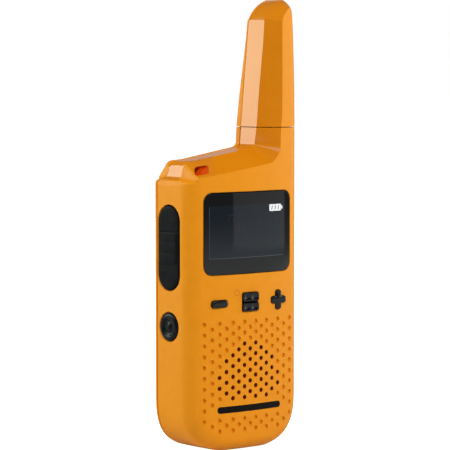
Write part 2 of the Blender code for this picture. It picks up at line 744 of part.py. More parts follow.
def speaker():
    centre = (0, 0, SPEAKER_Z)
    mesh_disc = cylinder_mesh(16.0, 0.3, (0, 3.1 + GAP, SPEAKER_Z), sides=40)
    add_object("grille_mesh", mesh_disc, "paper")
    ring = cylinder_mesh(17.0, 0.8, (0, 4.2, SPEAKER_Z), sides=40)
    gasket = add_object("speaker_gasket", ring, "black_rubber")
    boolean(gasket, add_object("gasket_bore", cylinder_mesh(14.6, 4, (0, 4.2, SPEAKER_Z), sides=40)))
    profile = [(5.2, 9.2), (13.6, 6.7), (16.6, 6.0), (16.6, 5.0), (15.6, 5.0), (12.9, 5.8), (4.2, 8.3), (4.2, 9.2)]
    turned("speaker_frame", [(r, -d) for r, d in profile], centre, "steel", 32)
    profile = [(0, 6.5), (3.4, 6.9), (9.6, 5.15), (12.6, 5.15), (14.2, 5.0), (14.2, 4.75), (9.5, 4.75), (3.4, 6.5), (0, 6.1)]
    turned("speaker_cone", [(r, -d) for r, d in reversed(profile)], centre, "paper", 32)
    add_object("speaker_magnet", cylinder_mesh(7.0, 2.6, (0, 10.8, SPEAKER_Z), sides=32), "steel")


def turned(name, profile, at, colour, steps):
    """A profile of radius and height, turned round the Y axis with a Screw modifier."""
    bm = bmesh.new()
    verts = [bm.verts.new((r * MM, 0, h * MM)) for r, h in profile]
    closed = profile[0][0] > 0
    for a, b in zip(verts, verts[1:] + verts[:1] if closed else verts[1:]):
        bm.edges.new((a, b))
    mesh = bpy.data.meshes.new(name)
    bm.to_mesh(mesh)
    bm.free()
    mesh.materials.append(material(colour))
    obj = bpy.data.objects.new(name, mesh)
    PARTS.objects.link(obj)
    obj.parent = ORIGIN
    obj.location = Vector(at) * MM
    obj.rotation_euler = (math.pi / 2, 0, 0)
    screw = obj.modifiers.new("turn", "SCREW")
    screw.steps = screw.render_steps = steps
    screw.use_merge_vertices = True
    screw.merge_threshold = 0.00001
    screw.use_smooth_shade = True
    screw.use_normal_calculate = True
    return obj


# --- Power ---


def battery():
    """Three AAA cells side by side in a tray, with a spring and a plate at their ends."""
    bottom, length, y = 12.0, 44.0, 18.2
    for i, x in enumerate((-10.9, 0.0, 10.9), 1):
        up = i != 2
        bm = cylinder_mesh(5.15, length - 1.2, (0, 0, 0), UP, 28)
        cell = add_object(f"battery_cell_{i}", bm, "cell_wrap", at=(x, y, bottom + length / 2))
        tip = cylinder_mesh(1.9, 2.0, (0, 0, (length / 2 - 0.4) * (1 if up else -1)), UP, 16)
        tip = add_object(f"battery_tip_{i}", tip, at=(x, y, bottom + length / 2))
        unite(cell, tip)
        spring_z = bottom - 4.3 if up else bottom + length + 4.3
        axis = (0, 0, 1) if up else (0, 0, -1)
        wire(f"contact_spring_{i}", spring_points(), 0.3, "steel", (x, y, spring_z), axis)
        plate_z = bottom + length + 1.5 if up else bottom - 1.5
        plate = box_mesh((7, 7, 0.5), (x, y, plate_z))
        add_object(f"contact_plate_{i}", plate, "steel")
    tray = box_mesh((36, 9.8, 55.4), (0, y - 1.1, bottom + length / 2))
    tray = add_object("battery_tray", tray, "black_plastic")
    room = box_mesh((33.4, 13.2, 53.4), (0, y + 1.3, bottom + length / 2))
    boolean(tray, add_object("tray_cutter", room))


def spring_points():
    """A conical contact spring with three turns."""
    per_turn, turns, height = 8, 3, 3.4
    count = per_turn * turns
    points = []
    for i in range(count + 1):
        angle = 2 * math.pi * i / per_turn
        radius = mix(3.4, 1.7, i / count)
        points.append((radius * math.cos(angle), radius * math.sin(angle), height * i / count))
    return points


# --- Belt clip, sockets and fasteners ---


def belt_clip():
    """The bracket that slides down onto the rail, and the sprung clip on its pin."""
    bracket = box_mesh((19, 2.5, 13), (0, DEPTH + GAP + 1.45, 97))
    bracket = add_object("clip_bracket", bracket, "black_plastic", pivot=(0, DEPTH, 97))
    ears = bmesh.new()
    for side in (1, -1):
        ear = [(27.0, 91.5), (30.6, 93.8), (32.4, 96.2), (32.4, 97.8), (30.6, 100.2), (27.0, 103)]
        prism_mesh(ear, side * 7.0, side * 9.4, "X", ears)
    unite(bracket, add_object("bracket_ears", ears))
    slot = box_mesh((5 + 2 * GAP, 4, 40), (0, DEPTH, 82.4))
    head_slot = box_mesh((9 + 2 * GAP, 0.8 + 2 * GAP, 40), (0, DEPTH + 1.9, 82.4))
    pin_at = (0, CLIP_PIN_Y, CLIP_PIN_Z)
    bore = add_object("pin_bore", cylinder_mesh(1.0 + 0.1, 30, pin_at, (1, 0, 0), 20))
    boolean(bracket, add_object("rail_slot", slot), add_object("rail_head_slot", head_slot), bore)
    add_object("clip_pin", cylinder_mesh(1.0, 18.6, (0, 0, 0), (1, 0, 0), 20), "steel", at=pin_at)
    clip_blade(pin_at, bore)
    coil = helix_points(1.55, 1.0, 4, 8, -2.0)
    wire("clip_spring", coil, 0.3, "steel", pin_at, (1, 0, 0))


def clip_blade(pin_at, bore):
    """The clip: a blade from the thumb tab down to the hooked tip, with two knuckles on the pin."""
    back = CLIP_BACK_Y
    side = [
        (back - 2, 109), (back, 109), (back, 42), (32.4, 37.5), (29.8, 35.6), (27.8, 36.4),
        (27.0, 38.4), (27.0, 40.4), (29.7, 42.0), (back - 2, 46),
    ]
    blade = add_object("belt_clip", prism_mesh(side, -9.2, 9.2, "X"), "black_plastic", pivot=pin_at)
    barrels, webs, room = bmesh.new(), bmesh.new(), bmesh.new()
    for side in (1, -1):
        cylinder_mesh(1.8, 2.4, (side * 5.2, CLIP_PIN_Y, CLIP_PIN_Z), (1, 0, 0), 20, bm=barrels)
        box_mesh((2.4, 1.6, 3.4), (side * 5.2, CLIP_PIN_Y + 1.0, CLIP_PIN_Z), webs)
        box_mesh((3.8, 6, 15), (side * 8.5, CLIP_PIN_Y, CLIP_PIN_Z), room)
    box_mesh((7, 5, 6), (0, CLIP_PIN_Y, CLIP_PIN_Z), room)
    unite(blade, add_object("clip_barrels", barrels), add_object("clip_webs", webs))
    boolean(blade, add_object("ear_room", room), bore)


def sockets():
    """The rubber cover on the right side and the two sockets behind it."""
    y, z = PORT_Y, PORT_Z
    cover = prism_mesh(round_rect(*PORT_SIZE, 2.0, (y, z), 3), 27.0, HALF_WIDTH + KEY_PROUD, "X")
    cover = add_object("port_cover", cover, "black_rubber", pivot=(27.2, y + PORT_SIZE[0] / 2, z))
    bevel(cover, 0.35)
    plug = prism_mesh(round_rect(5.6, 6.6, 1.2, (y, z - 5.5), 2), 25.9, 27.2, "X")
    unite(cover, add_object("cover_plug", plug))
    usb = prism_mesh(round_rect(3.4, 7.8, 1.0, (y, z - 5.5), 2), 20.5, 25.4, "X")
    usb = add_object("charging_socket", usb, "steel")
    slot = prism_mesh(round_rect(2.2, 6.6, 0.7, (y, z - 5.5), 2), 21.5, 27, "X")
    boolean(usb, add_object("charging_slot", slot))
    jack = add_object("earphone_socket", cylinder_mesh(2.9, 5.5, (22.5, y, z + 6), (1, 0, 0), 20), "black_plastic")
    boolean(jack, add_object("earphone_bore", cylinder_mesh(1.3, 5, (23.6, y, z + 6), (1, 0, 0), 16)))


def screws():
    """Four case screws, driven from the back into the bosses of the front housing."""
    for number, (x, z) in enumerate(SCREW_PLACES, 1):
        shank = cylinder_mesh(0.9, 12, (x, DEPTH - 6.3, z), sides=12)
        screw = add_object(f"case_screw_{number}", shank, "steel")
        head = cylinder_mesh(1.8, 0.7, (x, DEPTH - 0.15, z), sides=20)
        drive = cylinder_mesh(0.8, 1, (x, DEPTH + 0.3, z), sides=6)
        unite(screw, add_object(f"screw_head_{number}", head))
        boolean(screw, add_object(f"screw_drive_{number}", drive))


def seal():
    """The gasket that lies just behind the parting line, inside the rear housing."""
    ring = prism_mesh(cavity_outline(2.8 + GAP), DEPTH - 3.0, DEPTH - 2.1)
    ring = add_object("case_seal", ring, "black_rubber")
    boolean(ring, add_object("seal_cutter", prism_mesh(cavity_outline(3.9), 15, 30)))


def main():
    room, bore = cavities()
    above = box_mesh((90, 90, 100), (0, 0, SEAM_Z - GAP / 2 + 50))
    housings(room, bore, add_object("above_seam_cutter", above))
    antenna(bore)
    display()
    front_keys()
    main_board()
    side_switches()
    side_keys()
    speaker()
    battery()
    belt_clip()
    sockets()
    screws()
    seal()


main()
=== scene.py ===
"""Looks for the pocket two-way radio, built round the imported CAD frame.

Shapes are designed in millimetres with Y measured back from the middle of the front face, and put
into the frame's metres by to_frame(). The case surfaces repeat the design of the CAD housings at a
finer step, and the details that only matter for looks are added to them.
"""

import json
import math

import bmesh
import bpy
from mathutils import Matrix, Vector
from mathutils.geometry import delaunay_2d_cdt


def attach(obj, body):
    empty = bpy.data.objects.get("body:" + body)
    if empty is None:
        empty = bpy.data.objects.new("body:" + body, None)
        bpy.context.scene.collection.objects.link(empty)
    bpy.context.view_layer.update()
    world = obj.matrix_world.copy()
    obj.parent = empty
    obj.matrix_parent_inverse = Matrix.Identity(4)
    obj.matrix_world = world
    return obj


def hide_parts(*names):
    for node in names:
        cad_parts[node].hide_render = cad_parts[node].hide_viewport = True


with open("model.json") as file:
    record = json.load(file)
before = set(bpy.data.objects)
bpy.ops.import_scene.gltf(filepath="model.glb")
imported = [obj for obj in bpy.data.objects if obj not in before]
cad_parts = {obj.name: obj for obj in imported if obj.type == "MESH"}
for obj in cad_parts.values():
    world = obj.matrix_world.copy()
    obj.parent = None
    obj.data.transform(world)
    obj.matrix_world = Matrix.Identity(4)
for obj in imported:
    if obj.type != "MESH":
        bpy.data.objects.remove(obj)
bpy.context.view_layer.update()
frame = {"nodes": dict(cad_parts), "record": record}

MM = 0.001
CENTRE_Y = 16.7  # the frame's origin lies this far behind the front face
UP = Vector((0, 0, 1))
GAP = 0.3
FAR = 45  # beyond every side of the case

# Case
HALF_WIDTH = 27.5
DEPTH = 25.5
CROWN_RADIUS = 130.0
EDGE_ROUND = 5.3
WALL = 1.8
PARTING_Y = 22.0
ANTENNA_PARTING_Y = 17.4
SEAM_Z = 122.4
ANTENNA_TOP_Z = 165.0
TIP_Z = 171.2
SHOULDER_Z = 102.0
BASE_ROUND = 22.0
FOOT_CUT = 0.35
SCREW_PLACES = ((-22.4, 97.0), (22.4, 97.0), (-22.0, 30.0), (22.0, 30.0))
DETAIL = 8  # fineness of the case's outline
FRONT_STEPS = 10
REAR_STEPS = 6

# The strap slot's mouth: its corners on the shoulder, in the frame, and the way it runs in
MOUTH_TOP = Vector((-21.2, -9.1, 108.1)), Vector((-15.6, -10.7, 108.7))
MOUTH_FOOT = Vector((-23.6, -12.2, 104.8)), Vector((-18.3, -14.2, 105.5))
MOUTH_WAY = Vector((0.64, 0.76, -0.07))
MOUTH_DEPTHS = (4.4, 0.3)  # at its outer and its inner end

# Material slots of the case pieces. The last two hold painted light: painted shade and a painted glow on
# the strap slot's walls, and painted shade on the walls of the grille's open holes
GRAINED, POLISHED, PAINTED_GLOW_LINING, PAINTED_SHADE_LINING = range(4)

# Front face
WINDOW = (42.6, 30.7)
WINDOW_Z = 82.9
WINDOW_ROUND = 3.4
WINDOW_INSIDE = ((-0.019, 0.0735), (0.0178, 0.0935))  # the display area, in metres
KEY_ROW_Z = 56.5
KEY_X = 14.5
KEY_PROUD = 0.72
MINUS_SIZE = (7.5, 2.8)
PLUS_SIZE = 7.4
PLUS_ARM = 2.7
PLUS_ROUND = 0.85
MIDDLE_KEY_WIDTH = 7.9
UPPER_KEY = (3.5, 1.95)  # height, and how far above the row
LOWER_KEY = (3.3, -1.85)
HOLE_COLUMNS = (0.0, 2.78, 5.55, 8.35, 11.34, 14.49, 17.82, 21.31)
HOLE_PITCH = 4.09
HOLE_TOP_Z = 49.0
HOLE_RADIUS = 0.88
DIMPLE_RADII = (1.1, 0.7)  # of its cone, in front of the face and at its bottom
PRINT_BAR = (31.3, 2.5)
PRINT_BAR_PLACE = (0.2, 16.15)
ICON_PLACE = (13.0, 91.9)
POWER_PLACE = (-6.5, 60.4)

# Sides and back
SIDE_KEY_Y = 15.1
PTT_Z = 77.5
PTT_SIZE = (12.3, 32.0)
CALL_Z = 47.6
CALL_RADIUS = 5.3
PORT_Z = 80.0
PORT_Y = 13.5
PORT_SIZE = (9.0, 24.0)
DOOR_HALF_WIDTH = 19.0
DOOR_TOP_Z = 61.0
CLIP_PIN_Y = 30.7
CLIP_PIN_Z = 97.0
CLIP_BACK_Y = 33.6
CLIP_EAR_X = 5.2
RIB_ROWS_Z = (101.2, 103.0, 104.8, 106.6)
THUMB_ROWS_Z = (51.0, 52.9, 54.8)

# --- Materials ---


def nodes_of(mat):
    return mat.node_tree.nodes, mat.node_tree.links, mat.node_tree.nodes["Principled BSDF"]


def put(node, **values):
    """Sets the node's inputs. An underscore stands for a space in a name."""
    for name, value in values.items():
        node.inputs[name.replace("_", " ")].default_value = value


def plain(name, colour, roughness, metallic=0.0, specular=0.5):
    mat = bpy.data.materials.new(name)
    mat.use_nodes = True
    shader = nodes_of(mat)[2]
    put(shader, Base_Color=(*colour, 1), Roughness=roughness)
    put(shader, Metallic=metallic, Specular_IOR_Level=specular)
    return mat


def noise(mat, scale, detail=3.0, stretch=(1, 1, 1)):
    nodes, links, _ = nodes_of(mat)
    where = nodes.new("ShaderNodeTexCoord")
    mapping = nodes.new("ShaderNodeMapping")
    put(mapping, Scale=stretch)
    texture = nodes.new("ShaderNodeTexNoise")
    put(texture, Scale=scale, Detail=detail)
    links.new(where.outputs["Object"], mapping.inputs["Vector"])
    links.new(mapping.outputs["Vector"], texture.inputs["Vector"])
    return texture.outputs["Fac"]


def bump(mat, height, strength, distance):
    nodes, links, shader = nodes_of(mat)
    made = nodes.new("ShaderNodeBump")
    put(made, Strength=strength, Distance=distance)
    links.new(height, made.inputs["Height"])
    if shader.inputs["Normal"].links:
        links.new(shader.inputs["Normal"].links[0].from_socket, made.inputs["Normal"])
    links.new(made.outputs["Normal"], shader.inputs["Normal"])


def vary_roughness(mat, height, low, high):
    nodes, links, shader = nodes_of(mat)
    spread = nodes.new("ShaderNodeMapRange")
    put(spread, From_Min=0.3, From_Max=0.7, To_Min=low, To_Max=high)
    links.new(height, spread.inputs["Value"])
    links.new(spread.outputs["Result"], shader.inputs["Roughness"])


def vary_colour(mat, height, dark, light):
    nodes, links, shader = nodes_of(mat)
    shades = nodes.new("ShaderNodeValToRGB")
    for stop, position, colour in zip(shades.color_ramp.elements, (0.3, 0.7), (dark, light)):
        stop.position = position
        stop.color = (*colour, 1)
    links.new(height, shades.inputs["Fac"])
    links.new(shades.outputs["Color"], shader.inputs["Base Color"])


def orange_grained():
    """Moulded plastic with a spark-eroded grain."""
    mat = plain("orange_grained", (0.8, 0.27, 0.012), 0.42, specular=0.17)
    vary_colour(mat, noise(mat, 260, 4), (0.805, 0.273, 0.003), (0.835, 0.287, 0.005))
    bump(mat, noise(mat, 2600, 2), 0.35, 0.00006)
    bump(mat, noise(mat, 700, 3), 0.12, 0.00012)
    vary_roughness(mat, noise(mat, 420, 3), 0.36, 0.5)
    return mat


def orange_polished():
    """The same plastic from a polished part of the mould."""
    mat = plain("orange_polished", (0.72, 0.225, 0.004), 0.09)
    vary_colour(mat, noise(mat, 60, 2), (0.70, 0.215, 0.003), (0.74, 0.235, 0.004))
    bump(mat, noise(mat, 90, 2), 0.03, 0.0003)
    vary_roughness(mat, noise(mat, 300, 4), 0.06, 0.13)
    return mat


def black_rubber(name="black_rubber", roughness=(0.34, 0.5), colour=(0.0052, 0.005, 0.0072), specular=0.05):
    mat = plain(name, colour, 0.42, specular=specular)
    vary_colour(mat, noise(mat, 320, 3), tuple(0.8 * c for c in colour), tuple(1.3 * c for c in colour))
    bump(mat, noise(mat, 2200, 2), 0.15, 0.00004)
    vary_roughness(mat, noise(mat, 260, 3), *roughness)
    return mat


def window_black():
    """Black-printed lens with the slightly lighter display area behind it."""
    mat = plain("window_black", (0.006, 0.007, 0.009), 0.035, specular=0.33)
    nodes, links, shader = nodes_of(mat)
    inside = box_mask(mat, *WINDOW_INSIDE, 0.0003)
    colour = nodes.new("ShaderNodeMix")
    colour.data_type = "RGBA"
    put(colour, A=(0.007, 0.007, 0.0075, 1), B=(0.0085, 0.012, 0.0175, 1))
    links.new(inside, colour.inputs["Factor"])
    links.new(colour.outputs["Result"], shader.inputs["Base Color"])
    bump(mat, noise(mat, 40, 1), 0.02, 0.0004)
    return mat


def box_mask(mat, low, high, soft):
    """1 inside an X,Z rectangle of the object and 0 outside, with a soft rim."""
    nodes, links, _ = nodes_of(mat)
    where = nodes.new("ShaderNodeTexCoord")
    split = nodes.new("ShaderNodeSeparateXYZ")
    links.new(where.outputs["Object"], split.inputs["Vector"])
    factors = []
    for axis, lowest, highest in (("X", low[0], high[0]), ("Z", low[1], high[1])):
        for edge, sign in ((lowest, 1), (highest, -1)):
            step = nodes.new("ShaderNodeMapRange")
            put(step, From_Min=edge - sign * soft, From_Max=edge + sign * soft)
            links.new(split.outputs[axis], step.inputs["Value"])
            factors.append(step.outputs["Result"])
    total = factors[0]
    for factor in factors[1:]:
        times = nodes.new("ShaderNodeMath")
        times.operation = "MULTIPLY"
        links.new(total, times.inputs[0])
        links.new(factor, times.inputs[1])
        total = times.outputs["Value"]
    return total


def painted_glow_plastic():
    """Painted light deep in the strap slot: a darker, redder orange with a faint emitted glow, standing in
    for the shade there and for light that has passed through the plastic and reddened it.
    """
    mat = moulded("strap_slot_painted_glow", (0.66, 0.08, 0.002), 0.5)
    shader = nodes_of(mat)[2]
    put(shader, Specular_IOR_Level=0.1, Emission_Color=(0.5, 0.05, 0.001, 1), Emission_Strength=0.1)
    return mat


def metal(name, colour, roughness):
    mat = plain(name, colour, roughness, 1.0)
    streaks = noise(mat, 900, 3, (1, 1, 12))
    vary_roughness(mat, streaks, roughness * 0.7, roughness * 1.35)
    bump(mat, streaks, 0.06, 0.00003)
    return mat


def moulded(name, colour, roughness, scale=1500):
    mat = plain(name, colour, roughness)
    vary_colour(mat, noise(mat, 300, 3), tuple(0.85 * c for c in colour), tuple(1.15 * c for c in colour))
    bump(mat, noise(mat, scale, 2), 0.2, 0.00005)
    vary_roughness(mat, noise(mat, 380, 3), roughness * 0.85, roughness * 1.2)
    return mat


ORANGE = orange_grained()
# Painted shade and a painted glow for the strap slot's walls.
GLOSS = orange_polished()
STRAP_SLOT_PAINTED_GLOW = painted_glow_plastic()
# Painted shade: a dark red-brown on the walls of the grille's open holes, standing in for the shade inside
# them; the plastic there is the same orange.
HOLE_PAINTED_SHADE = moulded("hole_painted_shade", (0.42, 0.075, 0.004), 0.5)
RUBBER = black_rubber()
KEY_RUBBER = black_rubber("key_rubber", (0.08, 0.13), (0.003, 0.003, 0.004), 0.36)
CALL_RUBBER = black_rubber("call_rubber", (0.14, 0.22), (0.004, 0.0045, 0.006), 0.12)
COVER_RUBBER = black_rubber("cover_rubber", (0.34, 0.5), (0.017, 0.0175, 0.02), 0.3)
LENS = window_black()
CLIP_BLACK = moulded("clip_black", (0.014, 0.014, 0.016), 0.34)
STEEL = metal("plated_steel", (0.62, 0.62, 0.64), 0.28)
WHITE_INK = plain("white_ink", (0.86, 0.87, 0.88), 0.3)
DARK_INK = plain("dark_ink", (0.006, 0.005, 0.005), 0.4, specular=0.06)
FAINT_INK = plain("faint_ink", (0.6, 0.17, 0.004), 0.45, specular=0.2)
LINE_INK = plain("line_ink", (0.07, 0.075, 0.085), 0.2)
SEGMENT_INK = plain("segment_ink", (0.004, 0.006, 0.009), 0.2)
SEGMENT_BODY_INK = plain("segment_body_ink", (0.0055, 0.0075, 0.013), 0.2)

# --- Mesh helpers ---


def add_object(name, data):
    obj = bpy.data.objects.new(name, data)
    bpy.context.scene.collection.objects.link(obj)
    return obj


def to_frame(bm):
    bmesh.ops.scale(bm, vec=(MM, MM, MM), verts=bm.verts)
    bmesh.ops.translate(bm, vec=(0, -CENTRE_Y * MM, 0), verts=bm.verts)


def make(name, bm, *mats):
    """An object of the mesh, in the frame's metres. Without materials it's a cutter."""
    bmesh.ops.recalc_face_normals(bm, faces=bm.faces)
    to_frame(bm)
    mesh = bpy.data.meshes.new(name)
    bm.to_mesh(mesh)
    bm.free()
    for mat in mats:
        mesh.materials.append(mat)
    return add_object(name, mesh)


def cut(obj, *cutters, operation="DIFFERENCE"):
    for cutter in cutters:
        modifier = obj.modifiers.new("cut", "BOOLEAN")
        modifier.operation = operation
        modifier.object = cutter


def bevel(obj, width):
    modifier = obj.modifiers.new("edges", "BEVEL")
    modifier.width = width * MM
    modifier.segments = 3
    modifier.limit_method = "ANGLE"
    modifier.angle_limit = math.radians(30)


def settle(obj, body, slot, *replaced, sharp=32):
    """Applies the modifiers, shades the mesh, and puts the piece in the frame."""
    graph = bpy.context.evaluated_depsgraph_get()
    mesh = bpy.data.meshes.new_from_object(obj.evaluated_get(graph))
    obj.modifiers.clear()
    obj.data = mesh
    mesh.shade_smooth()
    mesh.set_sharp_from_angle(angle=math.radians(sharp))
    weighted = obj.modifiers.new("normals", "WEIGHTED_NORMAL")
    weighted.keep_sharp = True
    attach(obj, body)
    if replaced:
        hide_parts(*replaced)


def drop_cutters(*cutters):
    for cutter in cutters:
        bpy.data.objects.remove(cutter)


def box_mesh(size, centre=(0, 0, 0), bm=None):
    bm = bm or bmesh.new()
    bmesh.ops.create_cube(bm, size=1, matrix=Matrix.Translation(centre) @ Matrix.Diagonal((*size, 1)))
    return bm


def cylinder_mesh(radius, length, centre=(0, 0, 0), axis=(0, 1, 0), sides=32, top=None, bm=None):
    bm = bm or bmesh.new()
    placed = Matrix.Translation(centre) @ Vector(axis).to_track_quat("Z", "Y").to_matrix().to_4x4()
    top = radius if top is None else top
    bmesh.ops.create_cone(
        bm, cap_ends=True, segments=sides, radius1=radius, radius2=top, depth=length, matrix=placed
    )
    return bm


def prism_mesh(outline, low, high, axis="Y", bm=None):
    """A prism over a closed 2D outline. The outline is X,Z for axis Y, and Y,Z for X."""
    bm = bm or bmesh.new()
    place = (lambda a, b, h: (a, h, b)) if axis == "Y" else (lambda a, b, h: (h, a, b))
    base = bm.faces.new([bm.verts.new(place(a, b, low)) for a, b in outline])
    grown = bmesh.ops.extrude_face_region(bm, geom=[base])
    lift = Vector(place(0, 0, high)) - Vector(place(0, 0, low))
    moved = [v for v in grown["geom"] if isinstance(v, bmesh.types.BMVert)]
    bmesh.ops.translate(bm, vec=lift, verts=moved)
    return bm


def loft(rings):
    """A closed solid over matched rings of 3D points, with a flat face on each end."""
    bm = bmesh.new()
    loops = loops_of(bm, rings)
    join(bm, loops)
    bm.faces.new(loops[0])
    bm.faces.new(loops[-1])
    return bm


def loops_of(bm, rings):
    return [[bm.verts.new(p) for p in ring] for ring in rings]


def flat_edge(loop, across=0):
    """The loop's 2D points: X,Z, or Y,Z for across 1."""
    return [(v.co[across], v.co.z) for v in loop]


def join(bm, loops):
    """The bands of quads between each loop of vertices and the next."""
    bands = []
    for a, b in zip(loops, loops[1:]):
        band = []
        for i in range(len(a)):
            j = (i + 1) % len(a)
            band.append(bm.faces.new((a[i], a[j], b[j], b[i])))
        bands.append(band)
    return bands


def within(point, outline, margin):
    """True if the point lies inside the closed outline and at least margin away from it."""
    inside = False
    px, py = point
    limit = margin * margin
    for i, (bx, by) in enumerate(outline):
        ax, ay = outline[i - 1]
        if (ay > py) != (by > py) and px < ax + (py - ay) * (bx - ax) / (by - ay):
            inside = not inside
        dx, dy = bx - ax, by - ay
        t = min(1.0, max(0.0, ((px - ax) * dx + (py - ay) * dy) / max(dx * dx + dy * dy, 1e-9)))
        if (ax + t * dx - px) ** 2 + (ay + t * dy - py) ** 2 < limit:
            return False
    return inside


def fill(bm, loop, edge, spacing, place):
    """Closes a loop of vertices with a fine triangulated face. edge holds the loop's 2D points and
    place(a, b) gives the 3D point of any point inside it."""
    low = [min(p[k] for p in edge) for k in (0, 1)]
    high = [max(p[k] for p in edge) for k in (0, 1)]
    columns = int((high[0] - low[0]) / spacing) + 1
    rows = int((high[1] - low[1]) / spacing) + 1
    grid = []
    for row in range(rows):
        for column in range(columns):
            point = (low[0] + (column + 0.5) * spacing, low[1] + (row + 0.5) * spacing)
            if within(point, edge, 0.45 * spacing):
                grid.append(Vector(point))
    count = len(edge)
    rim = [(i, (i + 1) % count) for i in range(count)]
    flat = [Vector(p) for p in edge]
    points, _, faces, sources, _, _ = delaunay_2d_cdt(flat + grid, rim, [], 1, 1e-6, True)
    made = []
    for p, source in zip(points, sources):
        on_edge = [i for i in source if i < count]
        made.append(loop[on_edge[0]] if on_edge else bm.verts.new(place(p.x, p.y)))
    filled = []
    for face in faces:
        middle = sum((points[i] for i in face), Vector((0, 0))) / len(face)
        if within(middle, edge, 0.0005):
            filled.append(bm.faces.new([made[i] for i in face]))
    return filled


def round_rect(width, height, radius, centre=(0, 0), steps=8):
    points = []
    for quarter in range(4):
        sx = 1 if quarter in (0, 3) else -1
        sz = 1 if quarter in (0, 1) else -1
        cx = centre[0] + sx * (width / 2 - radius)
        cz = centre[1] + sz * (height / 2 - radius)
        for step in range(steps + 1):
            angle = math.radians(90 * (quarter + step / steps))
            points.append((cx + radius * math.cos(angle), cz + radius * math.sin(angle)))
    return points


def dense(outline, spacing):
    """The closed outline with extra points along its long sides."""
    points = []
    for i, (bx, by) in enumerate(outline):
        ax, ay = outline[i - 1]
        count = max(1, round(math.hypot(bx - ax, by - ay) / spacing))
        points += [(ax + (bx - ax) * k / count, ay + (by - ay) * k / count) for k in range(1, count + 1)]
    return points


def stadium(width, height, centre, steps=12):
    radius, reach = width / 2, (height - width) / 2
    points = []
    for step in range(2 * steps + 1):
        angle = math.pi * step / (2 * steps)
        points.append((centre[0] + radius * math.cos(angle), centre[1] + reach + radius * math.sin(angle)))
    return points + [(2 * centre[0] - a, 2 * centre[1] - b) for a, b in points]


def plus_outline(inset, centre, steps=6):
    """The plus sign with rounded arm ends, shrunk by inset all round."""
    s, a, r = PLUS_SIZE / 2 - inset, PLUS_ARM / 2 - inset, PLUS_ROUND - inset
    arm_end = [(a, -a)]
    for start, cx, cz in ((-90, s - r, r - a), (0, s - r, a - r)):
        for step in range(steps + 1):
            angle = math.radians(start + 90 * step / steps)
            arm_end.append((cx + r * math.cos(angle), cz + r * math.sin(angle)))
    points = []
    for turn in range(4):
        c, d = math.cos(turn * math.pi / 2), math.sin(turn * math.pi / 2)
        points += [(centre[0] + x * c - z * d, centre[1] + x * d + z * c) for x, z in arm_end]
    return points


# --- The case surface ---


def crown(x):
    """How far the crowned front face lies behind its middle line."""
    return CROWN_RADIUS - math.sqrt(CROWN_RADIUS**2 - x * x)


def mix(a, b, t):
    return a + (b - a) * t


def ramp(value, low, high):
    """0 below low and 1 above high, with a smooth step between."""
    t = min(1.0, max(0.0, (value - low) / (high - low)))
    return t * t * (3 - 2 * t)


def line(start, end, count):
    return [(mix(start[0], end[0], i / count), mix(start[1], end[1], i / count)) for i in range(count)]


def arc(centre, radius, start, end, count):
    turns = [math.radians(mix(start, end, i / count)) for i in range(count)]
    return [(centre[0] + radius * math.cos(a), centre[1] + radius * math.sin(a)) for a in turns]


def smooth_line(points, count):
    """A smooth curve through the points, without the last of them."""
    made = []
    for i in range(len(points) - 1):
        a = Vector(points[max(i - 1, 0)])
        b, c = Vector(points[i]), Vector(points[i + 1])
        d = Vector(points[min(i + 2, len(points) - 1)])
        for step in range(count):
            t = step / count
            cubic = (2 * b + (c - a) * t + (2 * a - 5 * b + 4 * c - d) * t**2) / 2
            made.append(tuple(cubic + (3 * b - a - 3 * c + d) * t**3 / 2))
    return made


def base_corner(half_width, height, side, count):
    """A quarter of a squarish oval, from the middle of the foot up to the side."""
    points = []
    for i in range(count):
        angle = math.pi / 2 * i / count
        x = side * half_width * math.sin(angle) ** (2 / 3)
        points.append((x, BASE_ROUND - height * math.cos(angle) ** (2 / 3)))
    return points


def left_corner(half_width, height, count):
    corner = base_corner(half_width, height, -1, count)
    return [(-half_width, BASE_ROUND)] + corner[:0:-1]


def antenna_right(z):
    return HALF_WIDTH - 2.5 * max(0.0, (z - SEAM_Z) / 42) ** 2


def antenna_left(z):
    return 9.9 + 0.07 * (z - SEAM_Z)


